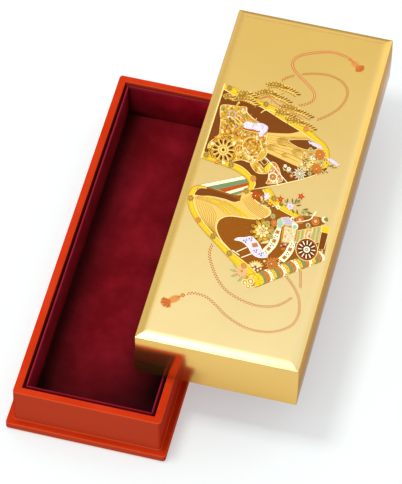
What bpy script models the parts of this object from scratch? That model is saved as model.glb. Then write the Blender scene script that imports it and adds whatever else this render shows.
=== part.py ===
"""Long lacquered pen box with its lid lifted off and laid across it.

Units are metres and +Z is up.  The origin is in the middle of the box's underside, on the
surface that the box stands on.  X runs along the short side of the box, to the right as
seen from the front, and Y runs along its length, away from the viewer.
"""

import math

import bmesh
import bpy

# The box, a tray with upright walls that stands on a slightly wider foot
BODY_WIDTH = 0.1004
BODY_LENGTH = 0.2766
RIM_HEIGHT = 0.0374
BODY_WALL = 0.0051
BODY_FLOOR = 0.0050
BODY_CORNER_RADIUS = 0.0012
BODY_INNER_CORNER_RADIUS = 0.0008
RIM_ROUND = 0.0009
FLOOR_COVE = 0.0006

# The foot that runs round the box and carries the lid when the box is closed
FOOT_HEIGHT = 0.0060
FOOT_OVERHANG = 0.0044
FOOT_CORNER_RADIUS = 0.0010
FOOT_EDGE_ROUND = 0.0009
FOOT_COVE = 0.0010

# The lid, a hollow cover whose top curves down to its edges in a broad pillowed border
LID_HEIGHT = 0.0400
LID_WALL = 0.0042
LID_TOP_THICKNESS = 0.0048
LID_SIDE_CLEARANCE = 0.0006
LID_END_CLEARANCE = 0.0015
LID_CORNER_RADIUS = 0.0009
LID_INNER_CORNER_RADIUS = 0.0008
LID_BORDER_WIDTH = 0.0078
LID_BORDER_DROP = 0.0022
LID_EDGE_ROUND = 0.0004
LID_MOUTH_ROUND = 0.0005
LID_CEILING_COVE = 0.0006

# Where the lid lies on the open box
LID_COVERS_RIGHT = 0.0274
LID_PASSES_BACK = 0.0478

# The cloth-covered lining panels inside the box
LINING_THICKNESS = 0.0021
LINING_FLOOR_THICKNESS = 0.0020
LINING_WALL_GAP = 0.0013
LINING_BELOW_RIM = 0.0010
LINING_SEAM = 0.0005
LINING_EDGE_ROUND = 0.0009
LINING_FLOOR_ROUND = 0.0005

# The room that neighbouring pieces leave where they touch
TOUCH_GAP = 0.0003

# How finely the curves are cut
CORNER_STEPS = 6
ROUND_STEPS = 4
BORDER_STEPS = 8
SMOOTH_ANGLE = math.radians(35)

# Sizes that follow from those above
LID_WIDTH = BODY_WIDTH + 2 * (LID_SIDE_CLEARANCE + LID_WALL)
LID_LENGTH = BODY_LENGTH + 2 * (LID_END_CLEARANCE + LID_WALL)
CAVITY_WIDTH = BODY_WIDTH - 2 * BODY_WALL
CAVITY_LENGTH = BODY_LENGTH - 2 * BODY_WALL
LINING_WIDTH = CAVITY_WIDTH - 2 * LINING_WALL_GAP
LINING_LENGTH = CAVITY_LENGTH - 2 * LINING_WALL_GAP
LINING_FOOT = BODY_FLOOR + TOUCH_GAP
LINING_TOP = RIM_HEIGHT - LINING_BELOW_RIM

# Colours and finishes, as sRGB hex, roughness and metallic value
VERMILION_LACQUER = ("vermilion_lacquer", "B4402A", 0.22, 0.0)
GOLD_LACQUER = ("gold_lacquer", "E3C375", 0.34, 0.55)
BURGUNDY_CLOTH = ("burgundy_cloth", "7A141F", 0.85, 0.0)


def linear(channel):
    """Turn one sRGB channel, from 0 to 1, into its linear value."""
    if channel <= 0.04045:
        return channel / 12.92
    return ((channel + 0.055) / 1.055) ** 2.4


def material(finish):
    """Return the material of a finish, made the first time that it is asked for."""
    name, colour, roughness, metallic = finish
    found = bpy.data.materials.get(name)
    if found:
        return found
    made = bpy.data.materials.new(name)
    made.use_nodes = True
    shader = made.node_tree.nodes["Principled BSDF"]
    channels = [int(colour[i:i + 2], 16) / 255 for i in (0, 2, 4)]
    shader.inputs["Base Color"].default_value = (*[linear(c) for c in channels], 1)
    shader.inputs["Roughness"].default_value = roughness
    shader.inputs["Metallic"].default_value = metallic
    return made


def clear_scene():
    """Remove every object that the file opens with."""
    for old in list(bpy.data.objects):
        bpy.data.objects.remove(old, do_unlink=True)


def ring(width, length, corner_radius, z):
    """Return the points of a level rounded rectangle round the Z axis, anticlockwise."""
    radius = min(corner_radius, 0.49 * width, 0.49 * length)
    corners = [(1, 1, 0), (-1, 1, 90), (-1, -1, 180), (1, -1, 270)]
    points = []
    for side_x, side_y, start in corners:
        centre_x = side_x * (width / 2 - radius)
        centre_y = side_y * (length / 2 - radius)
        for step in range(CORNER_STEPS + 1):
            angle = math.radians(start + 90 * step / CORNER_STEPS)
            x = centre_x + radius * math.cos(angle)
            y = centre_y + radius * math.sin(angle)
            points.append((x, y, z))
    return points


def arc(centre_inset, centre_z, radius, start, end):
    """Return (inset, z) points along an arc.  Angle 0 points out and 90 points up."""
    points = []
    for step in range(ROUND_STEPS + 1):
        angle = math.radians(start + (end - start) * step / ROUND_STEPS)
        inset = centre_inset - radius * math.cos(angle)
        z = centre_z + radius * math.sin(angle)
        points.append((inset, z))
    return points


def rings_along(profile, width, length, corner_radius, least_radius):
    """Turn (inset, z) points into rings of a plan whose corners tighten with the inset."""
    rings = []
    for inset, z in profile:
        radius = max(corner_radius - max(inset, 0), least_radius)
        rings.append(ring(width - 2 * inset, length - 2 * inset, radius, z))
    return rings


def loft(name, rings, finish):
    """Join a chain of equal rings into one closed solid and close its two ends."""
    mesh = bmesh.new()
    rows = [[mesh.verts.new(point) for point in points] for points in rings]
    for lower, upper in zip(rows, rows[1:]):
        for i in range(len(lower)):
            j = (i + 1) % len(lower)
            mesh.faces.new((lower[i], lower[j], upper[j], upper[i]))
    mesh.faces.new(list(reversed(rows[0])))
    mesh.faces.new(rows[-1])
    bmesh.ops.recalc_face_normals(mesh, faces=mesh.faces)
    data = bpy.data.meshes.new(name)
    mesh.to_mesh(data)
    mesh.free()
    data.shade_smooth()
    data.set_sharp_from_angle(angle=SMOOTH_ANGLE)
    data.materials.append(material(finish))
    made = bpy.data.objects.new(name, data)
    bpy.context.scene.collection.objects.link(made)
    return made


def foot_profile():
    """Return the outside of the foot, from the underside up to the wall, inset from the foot."""
    edge = FOOT_EDGE_ROUND
    cove = FOOT_COVE
    under_edge = arc(edge, edge, edge, -90, 0)
    upper_edge = arc(edge, FOOT_HEIGHT - edge, edge, 0, 90)
    wall_cove = arc(FOOT_OVERHANG - cove, FOOT_HEIGHT + cove, cove, 270, 180)
    return under_edge + upper_edge + wall_cove


def rim_profile():
    """Return the rim and the inside of the box, from the outer face in, inset from the wall."""
    top = RIM_HEIGHT - RIM_ROUND
    outer_round = arc(RIM_ROUND, top, RIM_ROUND, 0, 90)
    inner_round = arc(BODY_WALL - RIM_ROUND, top, RIM_ROUND, 90, 180)
    floor_cove = arc(BODY_WALL + FLOOR_COVE, BODY_FLOOR + FLOOR_COVE, FLOOR_COVE, 0, -90)
    return outer_round + inner_round + floor_cove


def build_box():
    """Make the box: floor, four walls and the foot round them, all one piece."""
    foot_width = BODY_WIDTH + 2 * FOOT_OVERHANG
    foot_length = BODY_LENGTH + 2 * FOOT_OVERHANG
    foot = rings_along(foot_profile(), foot_width, foot_length, FOOT_CORNER_RADIUS,
                       BODY_CORNER_RADIUS)
    walls = rings_along(rim_profile(), BODY_WIDTH, BODY_LENGTH, BODY_CORNER_RADIUS,
                        BODY_INNER_CORNER_RADIUS)
    return loft("base_box", foot + walls, VERMILION_LACQUER)


def lid_profile():
    """Return the section of the lid, from the ceiling down, round the mouth and up to the top."""
    ceiling = LID_HEIGHT - LID_TOP_THICKNESS
    mouth = LID_MOUTH_ROUND
    shoulder = LID_HEIGHT - LID_BORDER_DROP
    slope = math.degrees(math.atan2(2 * LID_BORDER_DROP, LID_BORDER_WIDTH))
    ceiling_cove = arc(LID_WALL + LID_CEILING_COVE, ceiling - LID_CEILING_COVE,
                       LID_CEILING_COVE, 90, 0)
    inner_mouth = arc(LID_WALL - mouth, mouth, mouth, 180, 270)
    outer_mouth = arc(mouth, mouth, mouth, -90, 0)
    edge_centre = shoulder - LID_EDGE_ROUND * math.sin(math.radians(90 - slope))
    edge = arc(LID_EDGE_ROUND, edge_centre, LID_EDGE_ROUND, 0, 90 - slope)
    return ceiling_cove + inner_mouth + outer_mouth + edge + border_curve()


def border_curve():
    """Return the pillowed border, steepest at the edge of the lid and level where the flat begins."""
    points = []
    for step in range(1, BORDER_STEPS + 1):
        share = step / BORDER_STEPS
        inset = LID_EDGE_ROUND + (LID_BORDER_WIDTH - LID_EDGE_ROUND) * share
        z = LID_HEIGHT - LID_BORDER_DROP * (1 - share) ** 2
        points.append((inset, z))
    return points


def build_lid():
    """Make the hollow lid and lay it, mouth down, across the right wall of the open box."""
    rings = rings_along(lid_profile(), LID_WIDTH, LID_LENGTH, LID_CORNER_RADIUS,
                        LID_INNER_CORNER_RADIUS)
    lid = loft("lid", rings, GOLD_LACQUER)
    left_side = BODY_WIDTH / 2 - LID_COVERS_RIGHT
    back_end = BODY_LENGTH / 2 + LID_PASSES_BACK
    lid.location.x = left_side + LID_WIDTH / 2
    lid.location.y = back_end - LID_LENGTH / 2
    lid.location.z = RIM_HEIGHT + TOUCH_GAP
    return lid


def build_floor_panel():
    """Make the lining's floor, which lies between the four upright panels."""
    width = LINING_WIDTH - 2 * (LINING_THICKNESS + LINING_SEAM)
    length = LINING_LENGTH - 2 * (LINING_THICKNESS + LINING_SEAM)
    edge = LINING_FLOOR_ROUND
    top = LINING_FOOT + LINING_FLOOR_THICKNESS
    profile = [(0, LINING_FOOT)] + arc(edge, top - edge, edge, 0, 90)
    rings = rings_along(profile, width, length, edge, edge)
    return loft("lining_floor", rings, BURGUNDY_CLOTH)


def panel_section():
    """Return an upright panel's section as (depth, z): depth 0 is its back, at the box wall."""
    edge = min(LINING_EDGE_ROUND, LINING_THICKNESS / 2)
    back_turn = arc(edge, LINING_TOP - edge, edge, 0, 90)
    front_turn = arc(LINING_THICKNESS - edge, LINING_TOP - edge, edge, 90, 180)
    return [(0, LINING_FOOT)] + back_turn + front_turn + [(LINING_THICKNESS, LINING_FOOT)]


def build_upright_panel(name, span, distance, turn):
    """Make one upright lining panel with mitred ends.

    The panel is drawn standing across the -Y side, then turned about the Z axis.  Its back
    is at the given distance from the middle of the box and is as long as the span.
    """
    ends = []
    for side in (-1, 1):
        reach = span / 2 - LINING_SEAM / 2
        ends.append([(side * (reach - depth), -distance + depth, z) for depth, z in panel_section()])
    panel = loft(name, ends, BURGUNDY_CLOTH)
    panel.rotation_euler.z = math.radians(turn)
    return panel


def build_lining():
    """Make the five cloth-covered panels that line the box."""
    half_width = LINING_WIDTH / 2
    half_length = LINING_LENGTH / 2
    build_floor_panel()
    build_upright_panel("lining_front", LINING_WIDTH, half_length, 0)
    build_upright_panel("lining_right", LINING_LENGTH, half_width, 90)
    build_upright_panel("lining_back", LINING_WIDTH, half_length, 180)
    build_upright_panel("lining_left", LINING_LENGTH, half_width, 270)


def main():
    clear_scene()
    build_box()
    build_lining()
    build_lid()


main()
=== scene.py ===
"""The finish of a long lacquered pen box: vermilion box, cloth lining, gold lid with its picture.

The file is laid out as an add-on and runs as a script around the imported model.  Places and sizes
are in metres, except in the picture, whose places are millimetres on the lid's top: the first
runs across it from the left edge, the second along it from the front edge.
"""

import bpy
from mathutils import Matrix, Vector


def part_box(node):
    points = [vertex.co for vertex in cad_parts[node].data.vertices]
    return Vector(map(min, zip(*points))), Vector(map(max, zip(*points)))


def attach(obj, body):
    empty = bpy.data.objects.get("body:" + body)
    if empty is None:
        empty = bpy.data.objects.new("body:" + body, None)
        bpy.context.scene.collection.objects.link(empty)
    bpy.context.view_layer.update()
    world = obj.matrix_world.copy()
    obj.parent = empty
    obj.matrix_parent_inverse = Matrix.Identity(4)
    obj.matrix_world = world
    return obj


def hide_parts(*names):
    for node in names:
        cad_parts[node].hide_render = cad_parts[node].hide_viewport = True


bl_info = {
    "name": "Pen Box Finish",
    "version": (1, 0, 0),
    "blender": (4, 5, 0),
    "location": "3D View > Sidebar > Pen Box",
    "description": "Makes the lacquer, the cloth and the picture of a long pen box",
    "category": "Object",
}

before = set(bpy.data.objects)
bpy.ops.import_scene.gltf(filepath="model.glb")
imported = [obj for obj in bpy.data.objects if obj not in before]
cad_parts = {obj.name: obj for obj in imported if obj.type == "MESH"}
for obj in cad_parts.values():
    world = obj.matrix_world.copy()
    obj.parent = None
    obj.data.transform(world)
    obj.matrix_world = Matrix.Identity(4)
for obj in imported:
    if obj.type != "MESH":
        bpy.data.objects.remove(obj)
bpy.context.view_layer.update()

import math
import random

import bpy
from mathutils import Vector, noise

BOX_LOW, BOX_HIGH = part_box("base_box")
LID_LOW, LID_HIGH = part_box("lid")
BODY = "root"
MM = 0.001


# Sizes and colours that a user would change

class PenBoxSizes(bpy.types.PropertyGroup):
    """Sizes of the box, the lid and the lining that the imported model's corners don't give."""

    def length(name, description, millimetres):
        return bpy.props.FloatProperty(name=name, description=description, unit="LENGTH",
                                       subtype="DISTANCE", default=millimetres * MM, precision=5)

    wall: length("Box wall", "Thickness of the box's walls", 5.1)
    floor: length("Box floor", "Thickness of the box's floor", 5.0)
    corner: length("Box corner", "Radius of the box's upright corners", 2.4)
    rim_round: length("Rim rounding", "Radius of the rim's two edges", 0.9)
    foot_height: length("Foot height", "Height of the foot round the box", 6.0)
    foot_corner: length("Foot corner", "Radius of the foot's upright corners", 2.0)
    foot_overhang: length("Foot overhang", "How far the foot stands out from the walls", 4.4)
    foot_round: length("Foot rounding", "Radius of the foot's edges", 0.9)
    foot_cove: length("Foot cove", "Radius where the wall meets the foot", 1.0)
    lid_wall: length("Lid wall", "Thickness of the lid's sides", 4.2)
    lid_top: length("Lid top", "Thickness of the lid's top", 4.8)
    lid_corner: length("Lid corner", "Radius of the lid's upright corners", 0.9)
    side_swell: length("Side swell", "How far the lid's sides stand out in their middle", 0.25)
    lid_edge: length("Lid edge", "Radius of the crisp edge between the sides and the border", 0.4)
    border_width: length("Border width", "Width of the pillowed border round the lid's top", 7.8)
    border_drop: length("Border drop", "How far the border falls to the lid's edge", 2.2)
    paint_room: length("Paint room", "How far the lacquered top lies below the top of the paint", 0.3)
    cloth_round: length("Cloth rounding", "Radius of the lining's padded edges", 0.95)
    cloth_lead: length("Cloth lead", "How far the panels' upper edges lean away from the walls", 0.7)
    floor_reach: length("Floor reach", "How far the floor's cloth squeezes out to the panels", 0.38)
    cloth_swell: length("Cloth swell", "How far the padding under the lining's cloth swells", 0.28)


class PenBoxColours(bpy.types.PropertyGroup):
    """Colours of the finishes, as sRGB hex."""

    def colour(name, description, default):
        return bpy.props.StringProperty(name=name, description=description, default=default)

    vermilion: colour("Vermilion", "Pigment of the box's lacquer", "BE2A07")
    # Painted reflection: a paler, greyer red on the short end walls
    vermilion_end_painted_reflection: colour("End vermilion", "Lacquer on the short walls, rubbed a little paler", "BA3E22")
    # Painted shade: a deeper red on the long walls
    vermilion_flank_painted_shade: colour("Side vermilion", "Lacquer on the long walls, which it leaves deeper", "A6240C")
    # Lighter orange along the edges, partly thin lacquer and partly a painted highlight; it also tints the
    # lacquer's lighter patches
    vermilion_thin_and_edge_highlight: colour("Worn vermilion", "Lacquer where it lies thin over an edge", "E4562A")
    # Painted highlight: the pale gold where the lid faces the eye
    gold_facing_highlight: colour("Pale gold", "Gold powder seen from straight above its grains", "DFCA92")
    gold: colour("Gold", "Gold powder seen a little from the side", "D6B45F")
    # Painted reflection: the deeper gold where the lid is seen at a slant
    gold_slant_reflection: colour("Deep gold", "Gold powder seen at a slant", "ECC06C")
    # Painted reflection of dark surroundings: a brown line along the lid's crisp edge
    gold_edge_dark_reflection: colour("Gold's ground", "Brown lacquer seen where an edge of the gold has worn", "7A531E")
    cloth: colour("Cloth", "Lining cloth, pile brushed away from the light", "66040E")
    cloth_light: colour("Lit cloth", "Lining cloth, pile brushed towards the light", "7E101E")
    # Painted highlight along the lining panels' top edges
    cloth_edge_highlight: colour("Cloth edge", "Lining cloth where its pile stands open over a fold", "861C30")
    studio: colour("Studio floor", "Light table that the box stands on", "BAC2C2")


class PenBoxStage(bpy.types.PropertyGroup):
    """The studio round the box."""

    def amount(name, description, default, unit="NONE"):
        return bpy.props.FloatProperty(name=name, description=description, default=default, min=0, unit=unit)

    sky: amount("Sky", "Strength of the white surroundings", 0.33)
    table: amount("Light table", "Glow of the table from below", 0.385)
    key: amount("Key light", "Power of the small main light", 15.5, "POWER")
    front: amount("Front light", "Power of the softbox in front of the box", 3.0, "POWER")
    fill: amount("Fill light", "Power of the big overhead softbox", 8.5, "POWER")
    screens: amount("Screens", "Power of the screens round the box", 6.5, "POWER")
    lens: amount("Lens", "Focal length of the camera", 265.2, "CAMERA")


# Shader tools

def linear(hex_colour):
    """Turn an sRGB hex colour into the linear values that a shader takes."""
    channels = [int(hex_colour[i:i + 2], 16) / 255 for i in (0, 2, 4)]
    return tuple(c / 12.92 if c <= 0.04045 else ((c + 0.055) / 1.055) ** 2.4 for c in channels) + (1,)


def fill(tree, node, sockets):
    """Give each socket of a node its value, its sRGB hex colour, or a link from another node."""
    for socket, source in sockets.items():
        if isinstance(source, bpy.types.Node):
            source = source.outputs[2 if getattr(source, "data_type", "") == "RGBA" else 0]
        if isinstance(source, bpy.types.NodeSocket):
            tree.links.new(source, node.inputs[socket])
        else:
            node.inputs[socket].default_value = linear(source) if isinstance(source, str) else source


def add(tree, kind, sockets=None, **settings):
    """Add a node, set its properties and fill its sockets."""
    node = tree.nodes.new("ShaderNode" + kind)
    for name, value in settings.items():
        setattr(node, name, value)
    fill(tree, node, sockets or {})
    return node


def start_material(name):
    """Return a new material, its tree, its shader and the object coordinates in metres."""
    material = bpy.data.materials.new(name)
    material.use_nodes = True
    tree = material.node_tree
    place = add(tree, "TexCoord").outputs["Object"]
    return material, tree, tree.nodes["Principled BSDF"], place


# Finishes

def vermilion_lacquer(colours):
    """Vermilion urushi lacquer, brushed on and polished.

    The eye sees a deep wet gloss over an even red, a slow swell where the brush left it, and a
    lighter orange along the edges, partly where the coat lies thin and partly a painted highlight.
    The short end walls take a paler red, a painted reflection, and the long walls a deeper red,
    painted shade.
    """
    material, tree, shader, place = start_material("vermilion_urushi_polished")
    cloud = add(tree, "TexNoise", {"Scale": 1 / (28 * MM), "Detail": 3, "Vector": place})
    coat = add(tree, "Mix", {0: add(tree, "MapRange", {"From Min": 0.3, "From Max": 0.7, "To Max": 0.22,
                                                       "Value": cloud}),
                             6: colours.vermilion, 7: colours.vermilion_thin_and_edge_highlight}, data_type="RGBA")
    normal = add(tree, "SeparateXYZ", {0: add(tree, "NewGeometry").outputs["Normal"]}).outputs
    # Colour by facing: a paler red on the end walls is a painted reflection, a deeper red on the long walls
    # is painted shade
    for axis, tint in (("Y", colours.vermilion_end_painted_reflection), ("X", colours.vermilion_flank_painted_shade)):
        facing = add(tree, "Math", {0: normal[axis]}, operation="ABSOLUTE")
        coat = add(tree, "Mix", {0: facing, 6: coat, 7: tint}, data_type="RGBA")
    # A lighter orange along the edges: partly lacquer lying thin there, partly a painted highlight
    level = add(tree, "Math", {0: normal["Z"]}, operation="ABSOLUTE")
    turned = add(tree, "Math", {0: 1, 1: level}, operation="SUBTRACT")
    edge = add(tree, "Math", {0: level, 1: turned}, operation="MULTIPLY")
    painted_edge = add(tree, "MapRange", {"From Min": 0.06, "From Max": 0.25, "To Max": 0.75, "Value": edge})
    coat = add(tree, "Mix", {0: painted_edge, 6: coat, 7: colours.vermilion_thin_and_edge_highlight}, data_type="RGBA")
    swell = add(tree, "TexNoise", {"Scale": 1 / (7 * MM), "Vector": place})
    bump = add(tree, "Bump", {"Strength": 0.35, "Distance": 0.02 * MM, "Height": swell})
    fill(tree, shader, {"Base Color": coat, "Normal": bump, "Roughness": 0.26, "Specular IOR Level": 0,
                        "Coat Weight": 0.04, "Coat Roughness": 0.05})
    return material


def gold_lacquer(colours):
    """Fine gold powder sprinkled on lacquer, polished and sealed under a clear coat.

    The eye sees a satin metal with a faint grain.  Its colour is paler where it faces the eye, a
    painted highlight, and a deeper gold at a slant, a painted reflection, and a brown line along the
    crisp edge between the sides and the border is a painted reflection of dark surroundings.  Real
    grains are about 0.05 mm, too fine to show in the render, so they are drawn at 0.6 mm.
    """
    material, tree, shader, place = start_material("gold_powder_lacquer_satin")
    # The colour turns with the view: a painted highlight where the surface faces the eye, a painted
    # reflection in deeper gold at a slant
    facing = add(tree, "LayerWeight", {"Blend": 0.5}).outputs["Facing"]
    powder = colours.gold_facing_highlight
    for start, end, tint in ((0.175, 0.232, colours.gold), (0.2, 0.4, colours.gold_slant_reflection)):
        turned = add(tree, "MapRange", {"From Min": start, "From Max": end, "Value": facing})
        powder = add(tree, "Mix", {0: turned, 6: powder, 7: tint}, data_type="RGBA")
    grain, cloud = (add(tree, "TexNoise", {"Scale": 1 / (size * MM), "Detail": detail, "Vector": place})
                    for size, detail in ((0.6, 2), (45, 3)))
    both = add(tree, "Math", {0: grain, 1: 0.6, 2: cloud}, operation="MULTIPLY_ADD")
    tone = add(tree, "MapRange", {"From Min": 0.5, "From Max": 1.1, "To Min": 1, "To Max": 0.93,
                                  "Value": both})
    powder = add(tree, "VectorMath", {0: powder, 1: tone}, operation="MULTIPLY")
    satin = add(tree, "MapRange", {"From Min": 0.2, "From Max": 0.4, "To Min": 0.34, "To Max": 0.1,
                                   "Value": facing})
    rough = add(tree, "Math", {0: grain, 1: 0.1, 2: satin}, operation="MULTIPLY_ADD")
    normal = add(tree, "NewGeometry").outputs["Normal"]
    level = add(tree, "SeparateXYZ", {0: normal}).outputs["Z"]
    edge, slope, upright = (add(tree, "MapRange", {"From Min": start, "From Max": end, "Value": level})
                            for start, end in ((0.3, 0.55), (0.84, 0.7), (0.3, 0.1)))
    # A painted dark reflection, in brown, along the crisp edge between the sides and the border
    painted_edge = add(tree, "Math", {0: edge, 1: slope}, operation="MULTIPLY")
    powder = add(tree, "Mix", {0: painted_edge, 6: powder, 7: colours.gold_edge_dark_reflection}, data_type="RGBA")
    height = add(tree, "SeparateXYZ", {0: place}).outputs["Z"]
    tilt = add(tree, "MapRange", {"From Min": LID_LOW.z, "From Max": LID_HIGH.z, "To Min": -0.05,
                                  "To Max": 0.17, "Value": height})
    lean = add(tree, "Math", {0: tilt, 1: upright}, operation="MULTIPLY")
    polished = add(tree, "VectorMath", {0: normal, 1: add(tree, "CombineXYZ", {"Z": lean})})
    bump = add(tree, "Bump", {"Strength": 0.2, "Distance": 0.02 * MM, "Height": grain, "Normal": polished})
    fill(tree, shader, {"Base Color": powder, "Roughness": rough, "Normal": bump, "Metallic": 0.97,
                        "Specular Tint": "C09C62", "Coat Weight": 0.2, "Coat Roughness": 0.12})
    return material


def lining_cloth(colours):
    """Burgundy short-pile cloth glued over padded card.

    The eye sees a soft dark red that lightens where the pile turns edge-on, slow patches where a
    hand has brushed it, and a fine tooth.  Painted shade darkens the floor towards the left, right
    and front walls, painted light brightens the back panel upwards, with painted shade in its left
    corner, and a painted highlight runs along the panels' top edges.  Threads are about 0.3 mm
    apart, drawn at 0.7 mm.
    """
    material, tree, shader, place = start_material("burgundy_velveteen")
    nap = add(tree, "TexNoise", {"Scale": 1 / (22 * MM), "Detail": 4, "Roughness": 0.6, "Vector": place})
    brushed = add(tree, "MapRange", {"From Min": 0.38, "From Max": 0.68, "Value": nap})
    cloth = add(tree, "Mix", {0: brushed, 6: colours.cloth, 7: colours.cloth_light}, data_type="RGBA")
    sides = add(tree, "SeparateXYZ", {0: place}).outputs
    low, high = BOX_LOW / MM, BOX_HIGH / MM
    # Masks over the object coordinates: painted shade on the floor towards the left wall, the right wall and
    # the front wall; the floor kept apart from the panels; the panels; painted light rising up the back
    # panel; painted shade in the back panel's left corner; the back panel; the panels' top edges; less of
    # that edge on the front panel
    fades = [add(tree, "MapRange", {"From Min": start * MM, "From Max": end * MM, "To Min": least,
                                    "To Max": most, "Value": sides[axis]}, interpolation_type=kind)
             for axis, start, end, least, most, kind in (
                 ("X", low.x + 10, low.x + 42, 0.2, 1, "SMOOTHSTEP"),
                 ("X", high.x - 8, high.x - 62, 0.1, 1, "SMOOTHSTEP"),
                 ("Y", low.y + 8, low.y + 95, 0.3, 1, "SMOOTHSTEP"),
                 ("Z", low.z + 8, low.z + 12, 0, 1, "SMOOTHSTEP"),
                 ("Z", low.z + 8, low.z + 12, 0, 1, "LINEAR"),
                 ("Z", low.z + 14, high.z - 4, 1.05, 2.6, "LINEAR"),
                 ("X", low.x + 10, low.x + 46, 0.25, 1, "LINEAR"),
                 ("Y", high.y - 13.4, high.y - 12.6, 0, 1, "LINEAR"),
                 ("Z", high.z - 4.2, high.z - 1.4, 0, 1, "LINEAR"),
                 ("Y", low.y + 11, low.y + 14, 0.2, 1, "LINEAR"))]
    left, right, front, wall, upright, rise, corner, back, fold, inward = fades
    # Painted light rising up the back panel, with painted shade in its left corner
    rise = add(tree, "Math", {0: rise, 1: corner}, operation="MULTIPLY")
    back = add(tree, "Mix", {0: back, 2: 1, 3: rise})
    # Painted shade on the floor towards the left, right and front walls, kept off the panels, times the back
    # panel's painted light and shade
    shade = left
    for near, how in ((right, "MULTIPLY"), (front, "MULTIPLY"), (wall, "MAXIMUM"), (back, "MULTIPLY")):
        shade = add(tree, "Math", {0: shade, 1: near}, operation=how)
    tint = add(tree, "Mix", {0: upright, 6: (1, 1, 1, 1), 7: (1.2, 1, 1.25, 1)}, data_type="RGBA")
    for part in (tint, shade):
        cloth = add(tree, "VectorMath", {0: cloth, 1: part}, operation="MULTIPLY")
    # Painted highlight along the panels' top edges, weaker on the front panel
    fold = add(tree, "Math", {0: fold, 1: inward}, operation="MULTIPLY")
    cloth = add(tree, "Mix", {0: fold, 6: cloth, 7: colours.cloth_edge_highlight}, data_type="RGBA")
    pile = add(tree, "TexNoise", {"Scale": 1 / (0.7 * MM), "Vector": place})
    bump = add(tree, "Bump", {"Strength": 0.6, "Distance": 0.12 * MM, "Height": pile})
    fill(tree, shader, {"Base Color": cloth, "Normal": bump, "Roughness": 0.92, "Specular IOR Level": 0.08,
                        "Sheen Weight": 0.1, "Sheen Roughness": 0.4, "Sheen Tint": "C8304A"})
    return material


PAINTS = {
    # name: light colour, dark colour, metallic, roughness
    "brown": ("7E4410", "6C380A", 0, 0.42),
    "russet": ("96560E", "84480A", 0, 0.42),
    "umber": ("6A2C06", "542004", 0, 0.42),
    "yellow": ("F2CF33", "E2B81E", 0.3, 0.38),
    "bright_gold": ("FFE9A4", "F4D27A", 0.4, 0.34),
    "stream_gold": ("EDC66C", "E0B558", 0.4, 0.38),
    "line_gold": ("B88A2A", "A27622", 0.35, 0.42),
    "cart_gold": ("DDB042", "C8982E", 0.35, 0.4),
    "olive": ("A0823A", "8A6E2C", 0.2, 0.44),
    "moss": ("7C7634", "686226", 0.1, 0.44),
    "ochre": ("8C6418", "785310", 0.15, 0.44),
    "cream": ("FFF6D6", "F6EABA", 0.05, 0.4),
    "lilac": ("E6DEF2", "D2C6E4", 0.05, 0.38),
    "mauve": ("C6BCCB", "B6AABF", 0.05, 0.4),
    "sand": ("EAD4A8", "DCC090", 0.1, 0.42),
    "orange": ("D0823C", "C07230", 0.1, 0.42),
    "apricot": ("EBC48A", "E2B476", 0.15, 0.42),
    "tan": ("DEA45C", "D0924A", 0.1, 0.42),
    "rust": ("C45412", "AA440A", 0.05, 0.42),
    "red": ("D43E14", "BE340C", 0, 0.42),
    "sage": ("7C9468", "68825A", 0.1, 0.42),
    "sage_gold": ("C0BA74", "AEA660", 0.15, 0.42),
    "turquoise": ("A4CCB4", "8ABC9E", 0.05, 0.4),
    "ink": ("35281C", "281C14", 0, 0.4),
}


def paint_material(name):
    """Coloured or gold powder sprinkled into wet lacquer and polished flush.

    The eye sees a flat colour with a fine metal grain and a clear gloss over it.  The grain is
    drawn at 0.5 mm for the same reason as on the lid.
    """
    light, dark, metallic, roughness = PAINTS[name]
    material, tree, shader, place = start_material("maki_e_powder_" + name)
    grain = add(tree, "TexNoise", {"Scale": 1 / (0.5 * MM), "Vector": place})
    tone = add(tree, "MapRange", {"From Min": 0.35, "From Max": 0.65, "Value": grain})
    powder = add(tree, "Mix", {0: tone, 6: light, 7: dark}, data_type="RGBA")
    fill(tree, shader, {"Base Color": powder, "Metallic": metallic, "Roughness": roughness,
                        "Specular IOR Level": 0.05, "Coat Weight": 0.02, "Coat Roughness": 0.12})
    return material


def light_table(colours, glow):
    """Matt white acrylic lit from below, which keeps the shadows on it soft and pale."""
    material, tree, shader, place = start_material("white_acrylic_matt")
    tooth = add(tree, "TexNoise", {"Scale": 1 / (3 * MM), "Vector": place})
    bump = add(tree, "Bump", {"Strength": 0.1, "Distance": 0.02 * MM, "Height": tooth})
    fill(tree, shader, {"Base Color": colours.studio, "Normal": bump, "Roughness": 0.95,
                        "Specular IOR Level": 0.1, "Emission Color": "FFFFFF", "Emission Strength": glow})
    return material


# Shape tools

def rounded_rectangle(centre, width, length, radius, z, steps=10):
    """Return the points of a level rounded rectangle, anticlockwise."""
    points = []
    for side_x, side_y, start in ((1, 1, 0), (-1, 1, 90), (-1, -1, 180), (1, -1, 270)):
        for step in range(steps + 1):
            angle = math.radians(start + 90 * step / steps)
            points.append((centre.x + side_x * (width / 2 - radius) + radius * math.cos(angle),
                           centre.y + side_y * (length / 2 - radius) + radius * math.sin(angle), z))
    return points


def arc(centre_inset, centre_z, radius, start, end, steps=8):
    """Return (inset, z) points along an arc.  Angle 0 points out and 90 points up."""
    angles = [math.radians(start + (end - start) * step / steps) for step in range(steps + 1)]
    return [(centre_inset - radius * math.cos(a), centre_z + radius * math.sin(a)) for a in angles]


def place_object(name, data):
    """Put an object with the given data in the scene."""
    item = bpy.data.objects.new(name, data)
    bpy.context.scene.collection.objects.link(item)
    return item


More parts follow.
